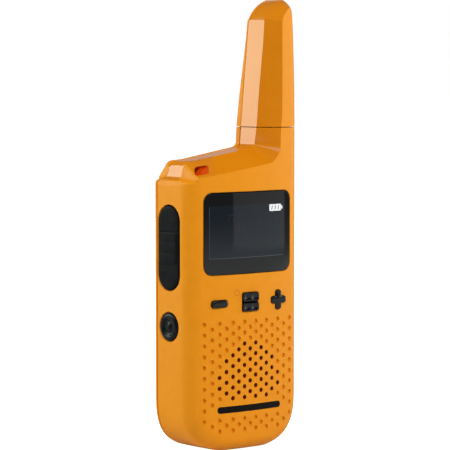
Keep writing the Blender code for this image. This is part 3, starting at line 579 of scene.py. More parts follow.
def case_stations():
    """Matched points (outer, front, kind) round the case: on its silhouette, and on the edge of the
    front face. kind is 0 where what lies between them is round, and 1 where it is a flat bevel."""
    detail = DETAIL
    inset = EDGE_ROUND
    tip_outer = [(25.1, 163.5), (24.9, 168.3), (24.1, 170.7), (22.3, 171.2), (19.9, 170.3)]
    tip_outer += [(17.1, 168.6), (14.7, 166.1), (12.9, 163.2)]
    tip_front = [(22.2, 162.5), (22.2, 165.2), (22.1, 167.3), (21.3, 168.0), (20.0, 167.2)]
    tip_front += [(18.7, 166.0), (17.6, 164.7), (17.0, 163.0)]
    outer, front, kind = [], [], []

    def add(outer_points, front_points, kinds):
        outer.extend(outer_points)
        front.extend(front_points)
        kind.extend(kinds if isinstance(kinds, list) else [kinds] * len(outer_points))

    n = 5 * detail
    low = HALF_WIDTH - inset
    add(base_corner(HALF_WIDTH, BASE_ROUND, 1, n), base_corner(low, BASE_ROUND - inset, 1, n), 0)
    n = 3 * detail
    side = [mix(BASE_ROUND, 110, i / n) for i in range(n)]
    add([(HALF_WIDTH, z) for z in side], [(low, z) for z in side], 0)
    n = 4 * detail
    side = [mix(110, 163.5, i / n) for i in range(n)]
    inner = [(mix(low, 22.3, ramp(z, 110, 163)), z - ramp(z, 110, 163)) for z in side]
    add([(antenna_right(z), z) for z in side], inner, 0)
    tip = smooth_line(tip_outer, detail)
    add(tip, smooth_line(tip_front, detail), [ramp(i, 0, 3 * detail) for i in range(len(tip))])
    n = 3 * detail
    down = [mix(163.4, 117.0, i / n) for i in range(n)]
    inner = [(mix(16.1, 17.0, ramp(z, 118, 130)), z - 0.4 * ramp(z, 117, 163.4)) for z in down]
    add([(antenna_left(z), z) for z in down], inner, 1)
    add(arc((7.2, 117.0), 2.4, 0, -82, n), arc((8.6, 116.2), 7.5, 0, -81, n), 1)
    add(line((7.6, 114.6), (-19.3, 110.3), n), line((9.8, 108.8), (-22.7, 104.2), n), 1)
    n = 2 * detail
    add(arc((-19.3, 106.3), 4.0, 90, 155, n), line((-22.7, 104.2), (-23.7, 104.0), n), 1)
    ledge = smooth_line([(-22.9, 108.0), (-24.3, 103.9), (-26.9, 102.9), (-27.5, 101.0)], detail)
    inner = smooth_line([(-23.7, 104.0), (-24.0, 103.5), (-23.2, 102.3), (-22.3, 101.0)], detail)
    add(ledge, inner, [1 - ramp(i, detail, 2.6 * detail) for i in range(len(ledge))])
    n = 3 * detail
    side = [mix(101.0, BASE_ROUND, i / n) for i in range(n)]
    add([(-HALF_WIDTH, z) for z in side], [(-low, z) for z in side], 0)
    n = 5 * detail
    add(left_corner(HALF_WIDTH, BASE_ROUND, n), left_corner(low, BASE_ROUND - inset, n), 0)
    outer = [(x, max(0.0, z - FOOT_CUT) if z < BASE_ROUND else min(z, TIP_Z)) for x, z in outer]
    return list(zip(outer, front, kind))


def is_cap(z, x):
    """1 over the shoulder and the antenna, and 0 below them."""
    return ramp(z, 103.2, 105.5) if x < 9 else ramp(z, 104, 116)


def rear_face_y(_, z):
    return DEPTH - 5.5 * max(0.0, z - 112) / 59


def parting_y(x, z):
    upper = ANTENNA_PARTING_Y + 3.0 * ramp(-x, 17, 22) - 0.03 * max(0.0, z - SEAM_Z)
    return mix(PARTING_Y, upper, is_cap(z, x))


def front_face_y(x, _):
    return crown(x)


def bevel_depth(x, z):
    """How far back from the front face the bevel reaches."""
    return 9.0 - 1.4 * ramp(z, 111, 124) - 1.5 * ramp(z, SEAM_Z, ANTENNA_TOP_Z) + ramp(-x, 18.5, 22.5)


def upright(z, kind):
    """How far the side runs straight back from the parting line before it tapers."""
    return 2.0 * kind * ramp(z, 103, 108) * (1 - ramp(z, SEAM_Z, ANTENNA_TOP_Z))


def pulled_in(stations, amount, y_shift):
    """The ring on the parting line, pulled inwards by amount to leave a fine groove there."""
    ring = []
    for (x, z), (ix, iz), _ in stations:
        length = max(math.hypot(ix - x, iz - z), 0.01)
        t = amount / length
        ring.append((mix(x, ix, t), parting_y(x, z) + y_shift, mix(z, iz, t)))
    return ring


def front_rings(steps):
    """Rings from the parting line forward to the edge of the front face."""
    stations = case_stations()
    rings = [pulled_in(stations, 0.3, 0), pulled_in(stations, 0.05, -0.12), pulled_in(stations, 0, -0.4)]
    for step in range(steps + 1):
        flat = 1 - step / steps
        turn = math.pi / 2 * flat
        ring = []
        for (ox, oz), (ix, iz), kind in stations:
            out = mix(math.sin(turn), flat, kind)
            back = mix(1 - math.cos(turn), flat, kind)
            depth = mix(EDGE_ROUND, bevel_depth(ox, oz), kind)
            x, z = mix(ix, ox, out), mix(iz, oz, out)
            ring.append((x, crown(x) + depth * back, z))
        rings.append(ring)
    return rings


def rear_rings(gap=GAP):
    """Rings from the parting line back to the edge of the rear face."""
    stations = case_stations()
    rings = [pulled_in(stations, 0.3, gap), pulled_in(stations, 0.02, gap + 0.15)]
    for step in range(REAR_STEPS + 1):
        flat = step / REAR_STEPS
        turn = math.pi / 2 * flat
        ring = []
        for (ox, oz), (ix, iz), kind in stations:
            rx, rz = mix(ox, ix, 0.95), mix(oz, iz, 0.95)
            out = mix(math.cos(turn), 1 - flat, kind)
            back = mix(math.sin(turn), flat, kind)
            x, z = mix(rx, ox, out), mix(rz, oz, out)
            edge = parting_y(ox, oz) + 0.5 + upright(oz, kind)
            ring.append((x, mix(edge, rear_face_y(x, z), back), z))
        rings.append(ring)
    return rings


def glossy_faces(band_count, side_bands):
    """(band, station) of each polished face: the bevel, but only the sides of its left corner."""
    stations = case_stations()
    glossy = set()
    for band in range(band_count):
        for i, ((x, z), _, kind) in enumerate(stations):
            corner = x < -22.0 and z > 102
            if kind > 0.45 and (band < side_bands or not corner):
                glossy.add((band, i))
    return glossy


def polish(bands, glossy):
    for number, band in enumerate(bands):
        for i, face in enumerate(band):
            face.material_index = POLISHED if (number, i) in glossy else GRAINED


def case_solid(rings, first_depth, last_depth, glossy, spacing):
    """The closed solid of the rings. glossy holds the polished faces; the others are grained."""
    bm = bmesh.new()
    loops = loops_of(bm, rings)
    polish(join(bm, loops), glossy)
    for loop, depth, fine in ((loops[0], first_depth, 9.0), (loops[-1], last_depth, spacing)):
        fill(bm, loop, flat_edge(loop), fine, lambda a, b: (a, depth(a, b), b))
    return bm


def cavity_outline(inset):
    """The room inside the case, seen from the front, inset from the case's outline."""
    half, base = HALF_WIDTH - inset, BASE_ROUND - inset
    right = base_corner(half, base, 1, 16) + [(half, BASE_ROUND)]
    top = SHOULDER_Z - inset + 1.8
    left = [(-x, z) for x, z in right[:0:-1]]
    return right + [(half, top), (3.5 - half, top), (-half, top - 2.5)] + left


def room_cutter():
    """(the case's room and the antenna's bore, the helpers that shape the room)."""
    room = make("room_cutter", prism_mesh(cavity_outline(WALL), 6.4, 22.15))
    front = make("front_room_cutter", prism_mesh(cavity_outline(3.6), -3, 6.7))
    crowned = cylinder_mesh(CROWN_RADIUS - WALL, 240, (0, CROWN_RADIUS, 60), UP, 256)
    crowned = make("inner_crown_keeper", crowned)
    cut(front, crowned, operation="INTERSECT")
    rear = make("rear_room_cutter", prism_mesh(cavity_outline(2.8), 21.9, DEPTH - WALL))
    cut(room, front, rear, operation="UNION")
    bore = make("antenna_bore_cutter", cylinder_mesh(4.9, 62, (18.7, 11.9, 130), UP, top=4.2))
    return [room, bore], [front, crowned, rear]


# --- Grille and openings of the front case ---


def grille_rows(column):
    """(rows with open holes, rows with dimples) of one column of the grille pattern."""
    if column % 2:
        open_rows = {1: range(2, 8), 3: range(3, 8), 5: range(5, 7), 7: ()}[column]
        rows = range(10) if column == 7 else [i for i in range(11) if i != 8]
    else:
        open_rows = {0: range(2, 7), 2: range(2, 7), 4: range(3, 7), 6: ()}[column]
        rows = [0, 1, 2, 3, 4, 5, 6, 9] + ([7] if column == 6 else [])
    return set(open_rows), [i for i in rows if i not in open_rows]


def grille_places():
    """(x, z, is open) of every hole and dimple."""
    places = []
    for column, x in enumerate(HOLE_COLUMNS):
        open_rows, dimples = grille_rows(column)
        phase = 0 if column % 2 else 0.5
        for row in sorted(open_rows) + dimples:
            z = HOLE_TOP_Z - HOLE_PITCH * (row + phase)
            for side in (1, -1) if column else (1,):
                places.append((side * x, z, row in open_rows))
    return places


def grille_cutters():
    holes, dimples = bmesh.new(), bmesh.new()
    for x, z, is_open in grille_places():
        y = crown(x)
        if is_open:
            cylinder_mesh(HOLE_RADIUS, 8, (x, y + 2, z), sides=16, bm=holes)
        else:
            cylinder_mesh(DIMPLE_RADII[0], 1.5, (x, y, z), sides=16, top=DIMPLE_RADII[1], bm=dimples)
    # The open holes' walls get the painted shade.
    return [make("hole_cutter", lined(holes, PAINTED_SHADE_LINING)), make("dimple_cutter", dimples)]


def flared(name, outline_at, depth, *chamfer):
    """A cutter for an opening in the crowned front face. chamfer holds the growth and depth of its ends."""
    rings = [[(x, crown(x) + lift, z) for x, z in outline_at(grow)] for grow, lift in chamfer]
    deep = [(x, depth, z) for x, _, z in rings[0]]
    clear = [(x, -3.0, z) for x, _, z in rings[-1]]
    return make(name, loft([deep, *rings, clear]))


def front_cutters():
    width, height = WINDOW

    def window(grow):
        outline = round_rect(width + 2 * grow, height + 2 * grow, WINDOW_ROUND + grow, (0, WINDOW_Z))
        return dense(outline, 2.5)

    cutters = [flared("window_cutter", window, 2.4, (0.3, 0.12), (1.0, -0.58))]
    through = round_rect(width - 3, height - 3, 2.0, (0, WINDOW_Z))
    cutters.append(make("window_through_cutter", prism_mesh(through, -3, 9)))
    shapes = key_shapes()
    middle = key_rect((MIDDLE_KEY_WIDTH, 7.2), 0.8, (0.0, KEY_ROW_Z + 0.1))
    for i, opening in enumerate((shapes["minus_key"][0], shapes["plus_key"][0], middle)):

        def outline(grow):
            return dense(opening(-grow), 1.0)

        cutters.append(flared(f"key_cutter_{i}", outline, 9.0, (0.12, 0.1), (0.8, -0.58)))
    return cutters


def side_cutters():
    """Chamfered pockets for the two side keys, and the port's recess and opening."""
    y, (w, h) = SIDE_KEY_Y, PTT_SIZE
    cutters = []
    shapes = {
        "ptt_cutter": lambda g: stadium(w + 2 * g, h + 2 * g, (y, PTT_Z)),
        "call_cutter": lambda g: stadium(2 * (CALL_RADIUS + g), 2 * (CALL_RADIUS + g), (y, CALL_Z)),
    }
    for name, outline in shapes.items():
        profile = ((0.3, -20), (0.3, -27.25), (1.05, -28.0))
        rings = [[(x, a, b) for a, b in outline(grow)] for grow, x in profile]
        cutters.append(make(name, loft(rings)))
    for name, grow, radius, start in (("port_recess", 0.6, 2.2, 26.7), ("port_hole", -2.4, 1.5, 20)):
        outline = round_rect(PORT_SIZE[0] + grow, PORT_SIZE[1] + grow, radius, (PORT_Y, PORT_Z))
        cutters.append(make(name, prism_mesh(outline, start, 40, "X")))
    return cutters


def strap_cutters():
    """The strap slot's way through: narrow in the front half, and wider in the rear."""
    narrow = prism_mesh(round_rect(4.2, 2.2, 1.0, (-19.1, 106.7)), CENTRE_Y - 8, 40)
    wide = prism_mesh(round_rect(5.2, 3.2, 1.5, (-19.0, 107.0)), -5, 40)
    # Its faces give the slot's walls the painted shade and glow.
    return [make("strap_cutter", lined(bm, PAINTED_GLOW_LINING)) for bm in (narrow, wide)]


def mouth_cutter():
    """The strap slot's mouth: deep at its outer end, with a ramp up to its inner end."""
    outside, inside = [], []
    for u, v in round_rect(1, 1, 0.24, (0.5, 0.5), 5):
        place = mix(mix(*MOUTH_FOOT, u), mix(*MOUTH_TOP, u), v)
        place.y += CENTRE_Y
        outside.append(place - 3 * MOUTH_WAY)
        inside.append(place + mix(*MOUTH_DEPTHS, u) * MOUTH_WAY)
    # Its faces give the mouth's walls the painted shade and glow.
    return make("mouth_cutter", lined(loft([outside, inside]), PAINTED_GLOW_LINING))


def lined(bm, slot):
    """A cutter's mesh, whose faces give what it cuts its material of that number."""
    for face in bm.faces:
        face.material_index = slot
    return bm


def box_cutter(name, low, high):
    size = [b - a for a, b in zip(low, high)]
    return make(name, box_mesh(size, [(a + b) / 2 for a, b in zip(low, high)]))


def case_pieces():
    """The front case, the rear case, the battery door and the antenna sleeve."""
    rooms, room_parts = room_cutter()
    strap, rear_strap = strap_cutters()
    above = box_cutter("above_cutter", (-FAR, -FAR, SEAM_Z - GAP / 2), (FAR, FAR, 240))
    rings = front_rings(FRONT_STEPS)
    bm = case_solid(rings, parting_y, front_face_y, glossy_faces(len(rings), 3), 2.6)
    front = make("front_case", bm, ORANGE, GLOSS, STRAP_SLOT_PAINTED_GLOW, HOLE_PAINTED_SHADE)
    bosses, bores = bmesh.new(), bmesh.new()
    for x, z in SCREW_PLACES:
        cylinder_mesh(2.2, 17, (x, 11.5, z), sides=20, bm=bosses)
        cylinder_mesh(1.2, 14, (x, 14.5, z), sides=16, bm=bores)
    bosses, bores = make("boss_adder", bosses), make("boss_bore_cutter", bores)
    cut(front, above, *rooms)
    cut(front, bosses, operation="UNION")
    cutters = [bores, strap, mouth_cutter(), *front_cutters(), *side_cutters(), *grille_cutters()]
    cut(front, *cutters)
    settle(front, "radio", "orange_shell", "front_housing")
    rear_pieces(rooms[0], rear_strap, above)
    sleeve(rooms[1])
    drop_cutters(*cutters, rear_strap, bosses, above, *rooms, *room_parts)


def rear_half(name, *cutters):
    """The rear half of the case, with a small lip that closes the gap at the parting line."""
    stations = case_stations()
    lip = [pulled_in(stations, 0.8, 0.03), pulled_in(stations, 0.75, GAP)]
    bm = case_solid(lip + rear_rings(), lambda x, z: parting_y(x, z) + 0.03, rear_face_y, set(), 5.0)
    piece = make(name, bm, ORANGE, GLOSS, STRAP_SLOT_PAINTED_GLOW)
    cut(piece, *cutters)
    return piece


def rear_pieces(room, strap, above):
    """The rear case with its clip rail, and the battery door cut from the same half."""
    rear = rear_half("rear_case", above, room, strap)
    door = rear_half("battery_cover", above, room, strap)
    hole = box_cutter("door_hole_cutter", (-DOOR_HALF_WIDTH, 10, -5), (DOOR_HALF_WIDTH, 40, DOOR_TOP_Z))
    low = (GAP - DOOR_HALF_WIDTH, 10, -5)
    keeper = box_cutter("door_keeper", low, (DOOR_HALF_WIDTH - GAP, 40, DOOR_TOP_Z - GAP))
    rail = box_cutter("rail_neck", (-2.5, DEPTH - 0.8, 88), (2.5, DEPTH + 1.8, 102))
    head = box_cutter("rail_head", (-4.5, DEPTH + 1.5, 88), (4.5, DEPTH + 2.3, 102))
    bores, heads = bmesh.new(), bmesh.new()
    for x, z in SCREW_PLACES:
        cylinder_mesh(1.2, 9, (x, DEPTH - 2, z), sides=24, bm=bores)
        cylinder_mesh(2.2, 3, (x, DEPTH + 0.7, z), sides=32, bm=heads)
    bores, heads = make("rear_bore_cutter", bores), make("rear_head_cutter", heads)
    cut(rear, hole)
    cut(rear, rail, head, operation="UNION")
    cut(rear, bores, heads)
    cut(door, keeper, operation="INTERSECT")
    dish = thumb_dish()
    cut(door, dish)
    settle(rear, "radio", "orange_shell", "rear_housing")
    settle(door, "door", "orange_shell", "battery_door")
    drop_cutters(hole, keeper, rail, head, bores, heads, dish)


def thumb_dish():
    """Three grip grooves near the top of the battery door."""
    bm = bmesh.new()
    for z in THUMB_ROWS_Z:
        outline = round_rect(15, 1.15, 0.55, (0, z))
        prism_mesh(outline, DEPTH - 0.55, DEPTH + 2, bm=bm)
    return make("thumb_cutter", bm)


def sleeve(bore):
    """The antenna sleeve: front and rear surfaces with a fine groove where they meet."""
    front = front_rings(8)[::-1]
    bm = bmesh.new()
    loops = loops_of(bm, front + rear_rings(0)[1:])
    polish(join(bm, loops), glossy_faces(len(front) - 1, len(front)))
    for loop, depth in ((loops[0], front_face_y), (loops[-1], rear_face_y)):
        fill(bm, loop, flat_edge(loop), 4.0, lambda a, b: (a, depth(a, b), b))
    piece = make("antenna_cover", bm, ORANGE, GLOSS)
    below = box_cutter("below_cutter", (-FAR, -FAR, -80), (FAR, FAR, SEAM_Z + GAP / 2))
    cut(piece, below, bore)
    settle(piece, "radio", "orange_shell", "antenna_sleeve")
    drop_cutters(below)


# --- Window, keys and printing ---


def window_lens():
    """The black-printed lens, crowned like the front face, with a fine chamfer."""
    width, height = WINDOW
    rings = []
    for inset, y in ((0, 1.9), (0, 0.03), (0.05, 0.0)):
        outline = round_rect(width - 2 * inset, height - 2 * inset, WINDOW_ROUND - inset, (0, WINDOW_Z))
        rings.append([(x, crown(x) + y if y < 1 else y, z) for x, z in dense(outline, 1.6)])
    bm = solid_with_face(rings, 1.6, lambda a, b: (a, crown(a), b))
    settle(make("window_lens", bm, LENS), "radio", "window", "display_window", sharp=20)


def solid_with_face(rings, spacing, place, across=0):
    """A closed solid over matched rings, flat behind, with a fine face on its last ring."""
    bm = bmesh.new()
    loops = loops_of(bm, rings)
    join(bm, loops)
    bm.faces.new(loops[0])
    fill(bm, loops[-1], flat_edge(loops[-1], across), spacing, place)
    return bm


def on_front(name, outlines, mat, lift=0.03, slot="window"):
    """Thin printed shapes that follow the crowned front face."""
    bm = bmesh.new()
    levels = (-0.05, lift)
    for outline in outlines:
        points = dense(outline, 1.2)
        loops = loops_of(bm, [[(x, crown(x) - up, z) for x, z in points] for up in levels])
        join(bm, loops)
        for loop, up in zip(loops, levels):
            fill(bm, loop, points, 1.0, lambda a, b: (a, crown(a) - up, b))
    settle(make(name, bm, mat), "radio", slot, sharp=50)


def printing():
    """The plain bar, the battery icon, the display's faint shapes and the power symbol."""
    bar = round_rect(*PRINT_BAR, 1.2, PRINT_BAR_PLACE)
    on_front("plain_print_bar", [bar], DARK_INK, slot="orange_shell")
    x, z = ICON_PLACE
    body = [round_rect(6.4, 2.6, 0.4, (x, z), 3), round_rect(0.7, 1.3, 0.2, (x + 3.65, z), 2)]
    on_front("battery_icon", body, WHITE_INK, 0.06)
    bars = [slanted(x - 1.75 + 1.75 * i, z) for i in range(3)]
    on_front("battery_icon_bars", bars, DARK_INK, 0.09)
    lower_line = round_rect(36.5, 0.16, 0.07, (-0.75, 73.6), 2)
    left_line = round_rect(0.14, 19.5, 0.06, (-19.0, 83.4), 2)
    on_front("display_edge_lines", [lower_line, left_line], LINE_INK, 0.04)
    segments = [*arch(-6.0, 87.2, 4.2, 2.8, 0.22), round_rect(5.0, 0.2, 0.08, (-6.2, 87.8), 2)]
    on_front("display_segments", segments, SEGMENT_INK, 0.04)
    block = round_rect(2.8, 7.0, 0.3, (-6.4, 83.6), 3)
    on_front("display_segment_body", [block], SEGMENT_BODY_INK)
    x, z = POWER_PLACE
    power = ring_outline(x, z, 1.15, 0.26) + [round_rect(0.3, 1.4, 0.1, (x, z + 0.8), 2)]
    on_front("power_symbol", power, FAINT_INK, slot="orange_shell")


def slanted(x, z):
    """One segment of the battery icon."""
    return [(x - 0.35, z - 0.75), (x - 0.05, z - 0.75), (x + 0.35, z + 0.75), (x + 0.05, z + 0.75)]


def arch(x, z, half_width, height, line):
    """An arch with full shoulders, as short quads."""
    quads = []
    for step in range(16):
        corners = []
        for turn, grow in ((step, 0), (step, line), (step + 1, line), (step + 1, 0)):
            side = math.cos(math.pi * turn / 16)
            up = max(0.0, math.sin(math.pi * turn / 16)) ** 0.6
            across = math.copysign(abs(side) ** 0.6, side)
            corners.append((x + (half_width + grow) * across, z + (height + grow) * up))
        quads.append(corners)
    return quads


def ring_outline(x, z, radius, width):
    """An open ring as short quads, with the gap at the top of a power symbol."""
    quads = []
    for step in range(20):
        low, high = (math.radians(120 + 300 * (step + k) / 20) for k in (0, 1))
        inner, outer = radius - width / 2, radius + width / 2
        corners = ((inner, low), (outer, low), (outer, high), (inner, high))
        quads.append([(x + r * math.cos(a), z + r * math.sin(a)) for r, a in corners])
    return quads


def key_shapes():
    """For each front key: its outline for an inset, the height of its crown, and its middle."""
    left, right = (-KEY_X, KEY_ROW_Z), (KEY_X, KEY_ROW_Z)
    shapes = {
        "minus_key": (key_rect(MINUS_SIZE, 1.3, left), 0.22, left),
        "plus_key": (lambda inset: plus_outline(inset, right), 0.22, right),
    }
    for name, (height, above) in (("upper_key", UPPER_KEY), ("lower_key", LOWER_KEY)):
        middle = (0.0, KEY_ROW_Z + above)
        shapes[name] = (key_rect((MIDDLE_KEY_WIDTH, height), 0.8, middle), 0.0, middle)
    return shapes


def key_rect(size, radius, centre):
    """A function that gives a key's rounded rectangle, shrunk by an inset."""

    def outline(inset):
        width, height = (side - 2 * inset for side in size)
        return round_rect(width, height, max(radius - inset, 0.15), centre)

    return outline


def dished(across, along):
    """Depth from 0 to 1 of the thumb dish in one half of a middle key."""
    return (1 - ramp(abs(across), 0.6, 1.5)) * (1 - ramp(abs(along), 0.4, 1.35))


def front_keys():
    """The four keys on the front, each on the body of its own name: crowned, or with two dishes."""
    for name, (outline, rise, (cx, cz)) in key_shapes().items():
        lift = crown(cx) - KEY_PROUD
        rings = []
        for inset, y in ((0, 3.2), (0, lift + 0.32), (0.09, lift + 0.1), (0.3, lift)):
            rings.append([(x, y, z) for x, z in dense(outline(inset), 0.8)])

        def face(a, b):
            away = min(1.0, math.hypot((a - cx) / 3.9, (b - cz) / 2.6))
            dish = 0.0 if rise else 0.3 * dished(abs(a - cx) - 1.8, b - cz)
            return (a, lift + dish - rise * (1 - away * away) * 0.8, b)

        bm = solid_with_face(rings, 0.45, face)
        body = name.removesuffix("_key")
        settle(make(f"{name}_cap", bm, KEY_RUBBER), body, "keys", name, sharp=48)


# --- Side keys and port cover ---


def key_surface(name, outline_at, insets, height, spacing, rubber, side=-1):
    """A key on a side wall: a rim with its (inset, x) rings, then a fine face of height(y, z)."""
    rings = [[(x, a, b) for a, b in outline_at(inset)] for inset, x in insets]
    bm = solid_with_face(rings, spacing, lambda a, b: (side * height(a, b), a, b), across=1)
    return make(name, bm, rubber)


def ptt_key():
    """The long key: a raised middle pad with cross grooves, and hatched ends."""
    y, (w, h) = SIDE_KEY_Y, PTT_SIZE
    rim = HALF_WIDTH + 0.18

    def height(a, b):
        across = (a - y) / (w / 2)
        along = abs(b - PTT_Z)
        up = HALF_WIDTH + 0.2 + 0.22 * (1 - across * across)
        up += 0.38 * (1 - ramp(along, 5.6, 6.9)) * (1 - ramp(abs(across), 0.7, 0.96))
        for groove, deep in ((6.15, 0.3), (2.1, 0.09)):
            up -= deep * math.exp(-(((along - groove) / 0.28) ** 2))
        hatch = 0.5 + 0.5 * math.sin(2 * math.pi * (a + b) / 1.5)
        from_end = math.hypot(across * w / 2, max(0, along - 9.8))
        up += 0.14 * hatch * ramp(along, 8.0, 9.5) * (1 - ramp(from_end, 4.4, 5.6))
        return min(up, HALF_WIDTH + 0.89)

    def outline(inset):
        return dense(stadium(w - 2 * inset, h - 2 * inset, (y, PTT_Z)), 0.8)

    insets = [(0, -25.0), (0, -rim + 0.35), (0.12, -rim + 0.1), (0.4, -rim)]
    key = key_surface("ptt_key_cap", outline, insets, height, 0.36, RUBBER)
    settle(key, "ptt", "keys", "ptt_key", sharp=55)


def call_key():
    """The round key: a raised rim, a dished ring and a domed middle."""
    y = SIDE_KEY_Y
    rim = HALF_WIDTH + 0.3

    def height(a, b):
        r = math.hypot(a - y, b - CALL_Z)
        up = rim + 0.2 * math.exp(-(((r - 4.0) / 0.6) ** 2))
        up -= 0.38 * (1 - ramp(r, 2.4, 3.6))
        up += 0.5 * (1 - ramp(r, 0.7, 1.9))
        return min(up, HALF_WIDTH + 0.6)

    insets = [(0, -25.0), (0, -rim + 0.5), (0.15, -rim + 0.15), (0.5, -rim)]

    def outline(inset):
        diameter = 2 * (CALL_RADIUS - inset)
        return stadium(diameter, diameter + 0.001, (y, CALL_Z), 16)[:-1]

    key = key_surface("call_key_cap", outline, insets, height, 0.34, CALL_RUBBER)
    settle(key, "call", "keys", "call_key", sharp=55)


def port_cover():
    """The rubber cover on the right side, with a finger lip at its front edge."""
    w, h = PORT_SIZE

    def height(a, b):
        u, v = (a - PORT_Y) / (w / 2), (b - PORT_Z) / (h / 2)
        up = HALF_WIDTH + 0.1 + 0.45 * (1 - ramp(max(abs(u), abs(v)), 0.62, 0.95))
        up += 0.3 * (1 - ramp(abs(u + 0.72), 0.12, 0.3)) * (1 - ramp(abs(v), 0.3, 0.5))
        return min(up, HALF_WIDTH + 0.88)

    def outline(inset):
        return dense(round_rect(w - 2 * inset, h - 2 * inset, 2.0 - inset, (PORT_Y, PORT_Z)), 0.8)

    insets = [(0, 27.0), (0, 27.3), (0.12, 27.5), (0.4, 27.6)]
    cover = key_surface("port_cover_skin", outline, insets, height, 0.45, COVER_RUBBER, side=1)
    plug_outline = round_rect(5.6, 6.6, 1.2, (PORT_Y, PORT_Z - 5.5))
    plug = make("cover_plug", prism_mesh(plug_outline, 25.9, 27.2, "X"))
    cut(cover, plug, operation="UNION")
    settle(cover, "cover", "keys", "port_cover", sharp=55)
    drop_cutters(plug)


# --- Belt clip ---


def belt_clip():
    """The sprung clip: a ribbed thumb tab, a waisted blade and a hooked tip."""
    back = CLIP_BACK_Y
    side = [
        (back - 2, 109), (back, 109), (back, 42), (32.4, 37.5), (29.8, 35.6), (27.8, 36.4),
        (27.0, 38.4), (27.0, 40.4), (29.7, 42.0), (back - 2, 46),
    ]
    blade = make("clip_blade", prism_mesh(side, -9.2, 9.2, "X"), CLIP_BLACK)
    bevel(blade, 0.55)
    y, z = CLIP_PIN_Y, CLIP_PIN_Z
    along_pin = (1, 0, 0)
    barrels, webs, room = bmesh.new(), bmesh.new(), bmesh.new()
    for sign in (1, -1):
        cylinder_mesh(1.8, 2.4, (sign * CLIP_EAR_X, y, z), along_pin, bm=barrels)
        box_mesh((2.4, 1.6, 3.4), (sign * CLIP_EAR_X, y + 1.0, z), webs)
        box_mesh((3.8, 6, 15), (sign * 8.5, y, z), room)
    box_mesh((7, 5, 6), (0, y, z), room)
    barrels, webs, room = make("barrels", barrels), make("webs", webs), make("ear_room", room)
    bore = make("clip_bore", cylinder_mesh(1.1, 30, (0, y, z), along_pin))
    grooves = bmesh.new()
    for rib_z in RIB_ROWS_Z:
        box_mesh((14, 0.7, 0.8), (0, back, rib_z), grooves)
    dish = prism_mesh(round_rect(9, 36, 4.4, (0, 67)), back - 0.5, back + 2)
    grooves, dish = make("tab_grooves", grooves), make("blade_dish", dish)
    cut(blade, barrels, webs, operation="UNION")
    cut(blade, room, bore, grooves, dish)
    settle(blade, "clip", "black_plastic", "belt_clip")
    drop_cutters(barrels, webs, room, bore, grooves, dish)


# --- Carried-over CAD pieces ---


def carried_over():
    """A finished material for every CAD node that stays."""
    finishes = {
        "orange_shell": ORANGE,
        "window": LENS,
        "keys": RUBBER,
        "gaskets": black_rubber("gasket_rubber", (0.6, 0.8), (0.02, 0.02, 0.02)),
        "black_plastic": CLIP_BLACK,
        "lcd": moulded("display_glass", (0.22, 0.24, 0.2), 0.12, 60),
        "backlight": moulded("light_guide", (0.75, 0.75, 0.72), 0.4, 200),
        "boards": moulded("circuit_board", (0.012, 0.12, 0.05), 0.35, 240),
        "plungers": moulded("grey_plastic", (0.3, 0.31, 0.33), 0.5),
        "steel": STEEL,
        "copper": metal("bare_copper", (0.75, 0.4, 0.2), 0.3),
        "speaker_paper": moulded("speaker_cloth", (0.012, 0.012, 0.013), 0.85, 900),
        "cells": moulded("cell_film", (0.05, 0.09, 0.2), 0.28, 120),
    }
    slots = {part["node"]: part["material_slot"] for part in frame["record"]["subparts"]}
    for name, obj in frame["nodes"].items():
        obj.data.materials.clear()
        obj.data.materials.append(finishes[slots[name]])


# --- Stage ---


def camera():
    """A long lens to the front-left of the radio, a little above it."""
    yaw, pitch, distance = math.radians(40), math.radians(3.89), 0.934
    aim = Vector((-0.01255, -CENTRE_Y * MM, 0.0863))
    look = Vector((math.sin(yaw) * math.cos(pitch), math.cos(yaw) * math.cos(pitch), -math.sin(pitch)))
    data = bpy.data.cameras.new("camera")
    data.sensor_width = 36
    data.lens = 199.0
    data.clip_start = 0.01
    obj = add_object("camera", data)
    obj.location = aim - look * distance
    obj.rotation_euler = look.to_track_quat("-Z", "Y").to_euler()
    bpy.context.scene.camera = obj


def softbox(name, place, size, power, aim=(0, 0, 0.09), colour=(1, 1, 1)):
    data = bpy.data.lights.new(name, "AREA")
    data.shape = "RECTANGLE"
    data.size, data.size_y = size
    data.energy = power
    data.color = colour
    obj = add_object(name, data)
    obj.location = place
    obj.rotation_euler = (Vector(aim) - Vector(place)).to_track_quat("-Z", "Y").to_euler()


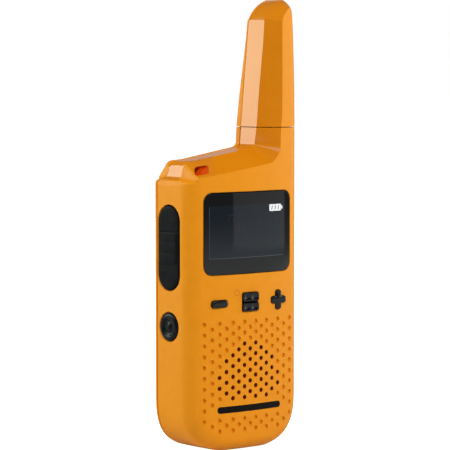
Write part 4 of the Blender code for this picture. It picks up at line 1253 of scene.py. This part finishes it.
def lights():
    """Soft boxes round the radio, and a world that is white only to the camera."""
    softbox("high_front_box", (0.22, -0.84, 0.72), (0.5, 0.5), 7.0)
    softbox("high_left_box", (-0.84, 0.22, 0.72), (0.5, 0.5), 4.0)
    softbox("fill_box", (-0.62, -0.72, 0.62), (0.5, 0.4), 1.3)
    softbox("right_box", (0.87, -0.26, 0.15), (0.4, 0.8), 3.6, colour=(0.86, 1, 0.95))
    softbox("dim_panel", (0.705, -0.71, 0.04), (0.45, 0.6), 0.48, (0, 0, 0.08))
    softbox("left_back_box", (-0.61, 0.73, 0.49), (0.5, 0.8), 6.2, (0, 0, 0.49), (0.88, 1, 0.84))
    softbox("backdrop", (0.77, 0.92, 0.4), (1.4, 0.9), 1.3)
    world = bpy.data.worlds.new("studio")
    world.use_nodes = True
    nodes, links = world.node_tree.nodes, world.node_tree.links
    seen = nodes["Background"]
    put(seen, Color=(1, 1, 1, 1), Strength=1.0)
    soft = nodes.new("ShaderNodeBackground")
    put(soft, Color=(1, 1, 1, 1), Strength=0.09)
    path = nodes.new("ShaderNodeLightPath")
    choose = nodes.new("ShaderNodeMixShader")
    links.new(path.outputs["Is Camera Ray"], choose.inputs["Fac"])
    links.new(soft.outputs["Background"], choose.inputs[1])
    links.new(seen.outputs["Background"], choose.inputs[2])
    links.new(choose.outputs["Shader"], nodes["World Output"].inputs["Surface"])
    bpy.context.scene.world = world
    bpy.context.scene.view_settings.view_transform = "Standard"


def floor():
    """A pale floor that the camera sees as white."""
    bm = bmesh.new()
    bmesh.ops.create_grid(bm, x_segments=2, y_segments=2, size=6)
    mesh = bpy.data.meshes.new("floor")
    bm.to_mesh(mesh)
    bm.free()
    mat = plain("floor_pale", (0.8, 0.8, 0.8), 0.9, specular=0.0)
    nodes, links, shader = nodes_of(mat)
    put(shader, Emission_Color=(1, 1, 1, 1))
    path = nodes.new("ShaderNodeLightPath")
    links.new(path.outputs["Is Camera Ray"], shader.inputs["Emission Strength"])
    vary_roughness(mat, noise(mat, 30), 0.85, 0.95)
    mesh.materials.append(mat)
    obj = add_object("floor", mesh)
    obj.location.z = -0.0002


def main():
    camera()
    lights()
    floor()
    carried_over()
    case_pieces()
    window_lens()
    printing()
    front_keys()
    ptt_key()
    call_key()
    port_cover()
    belt_clip()
    bpy.context.view_layer.update()


main()
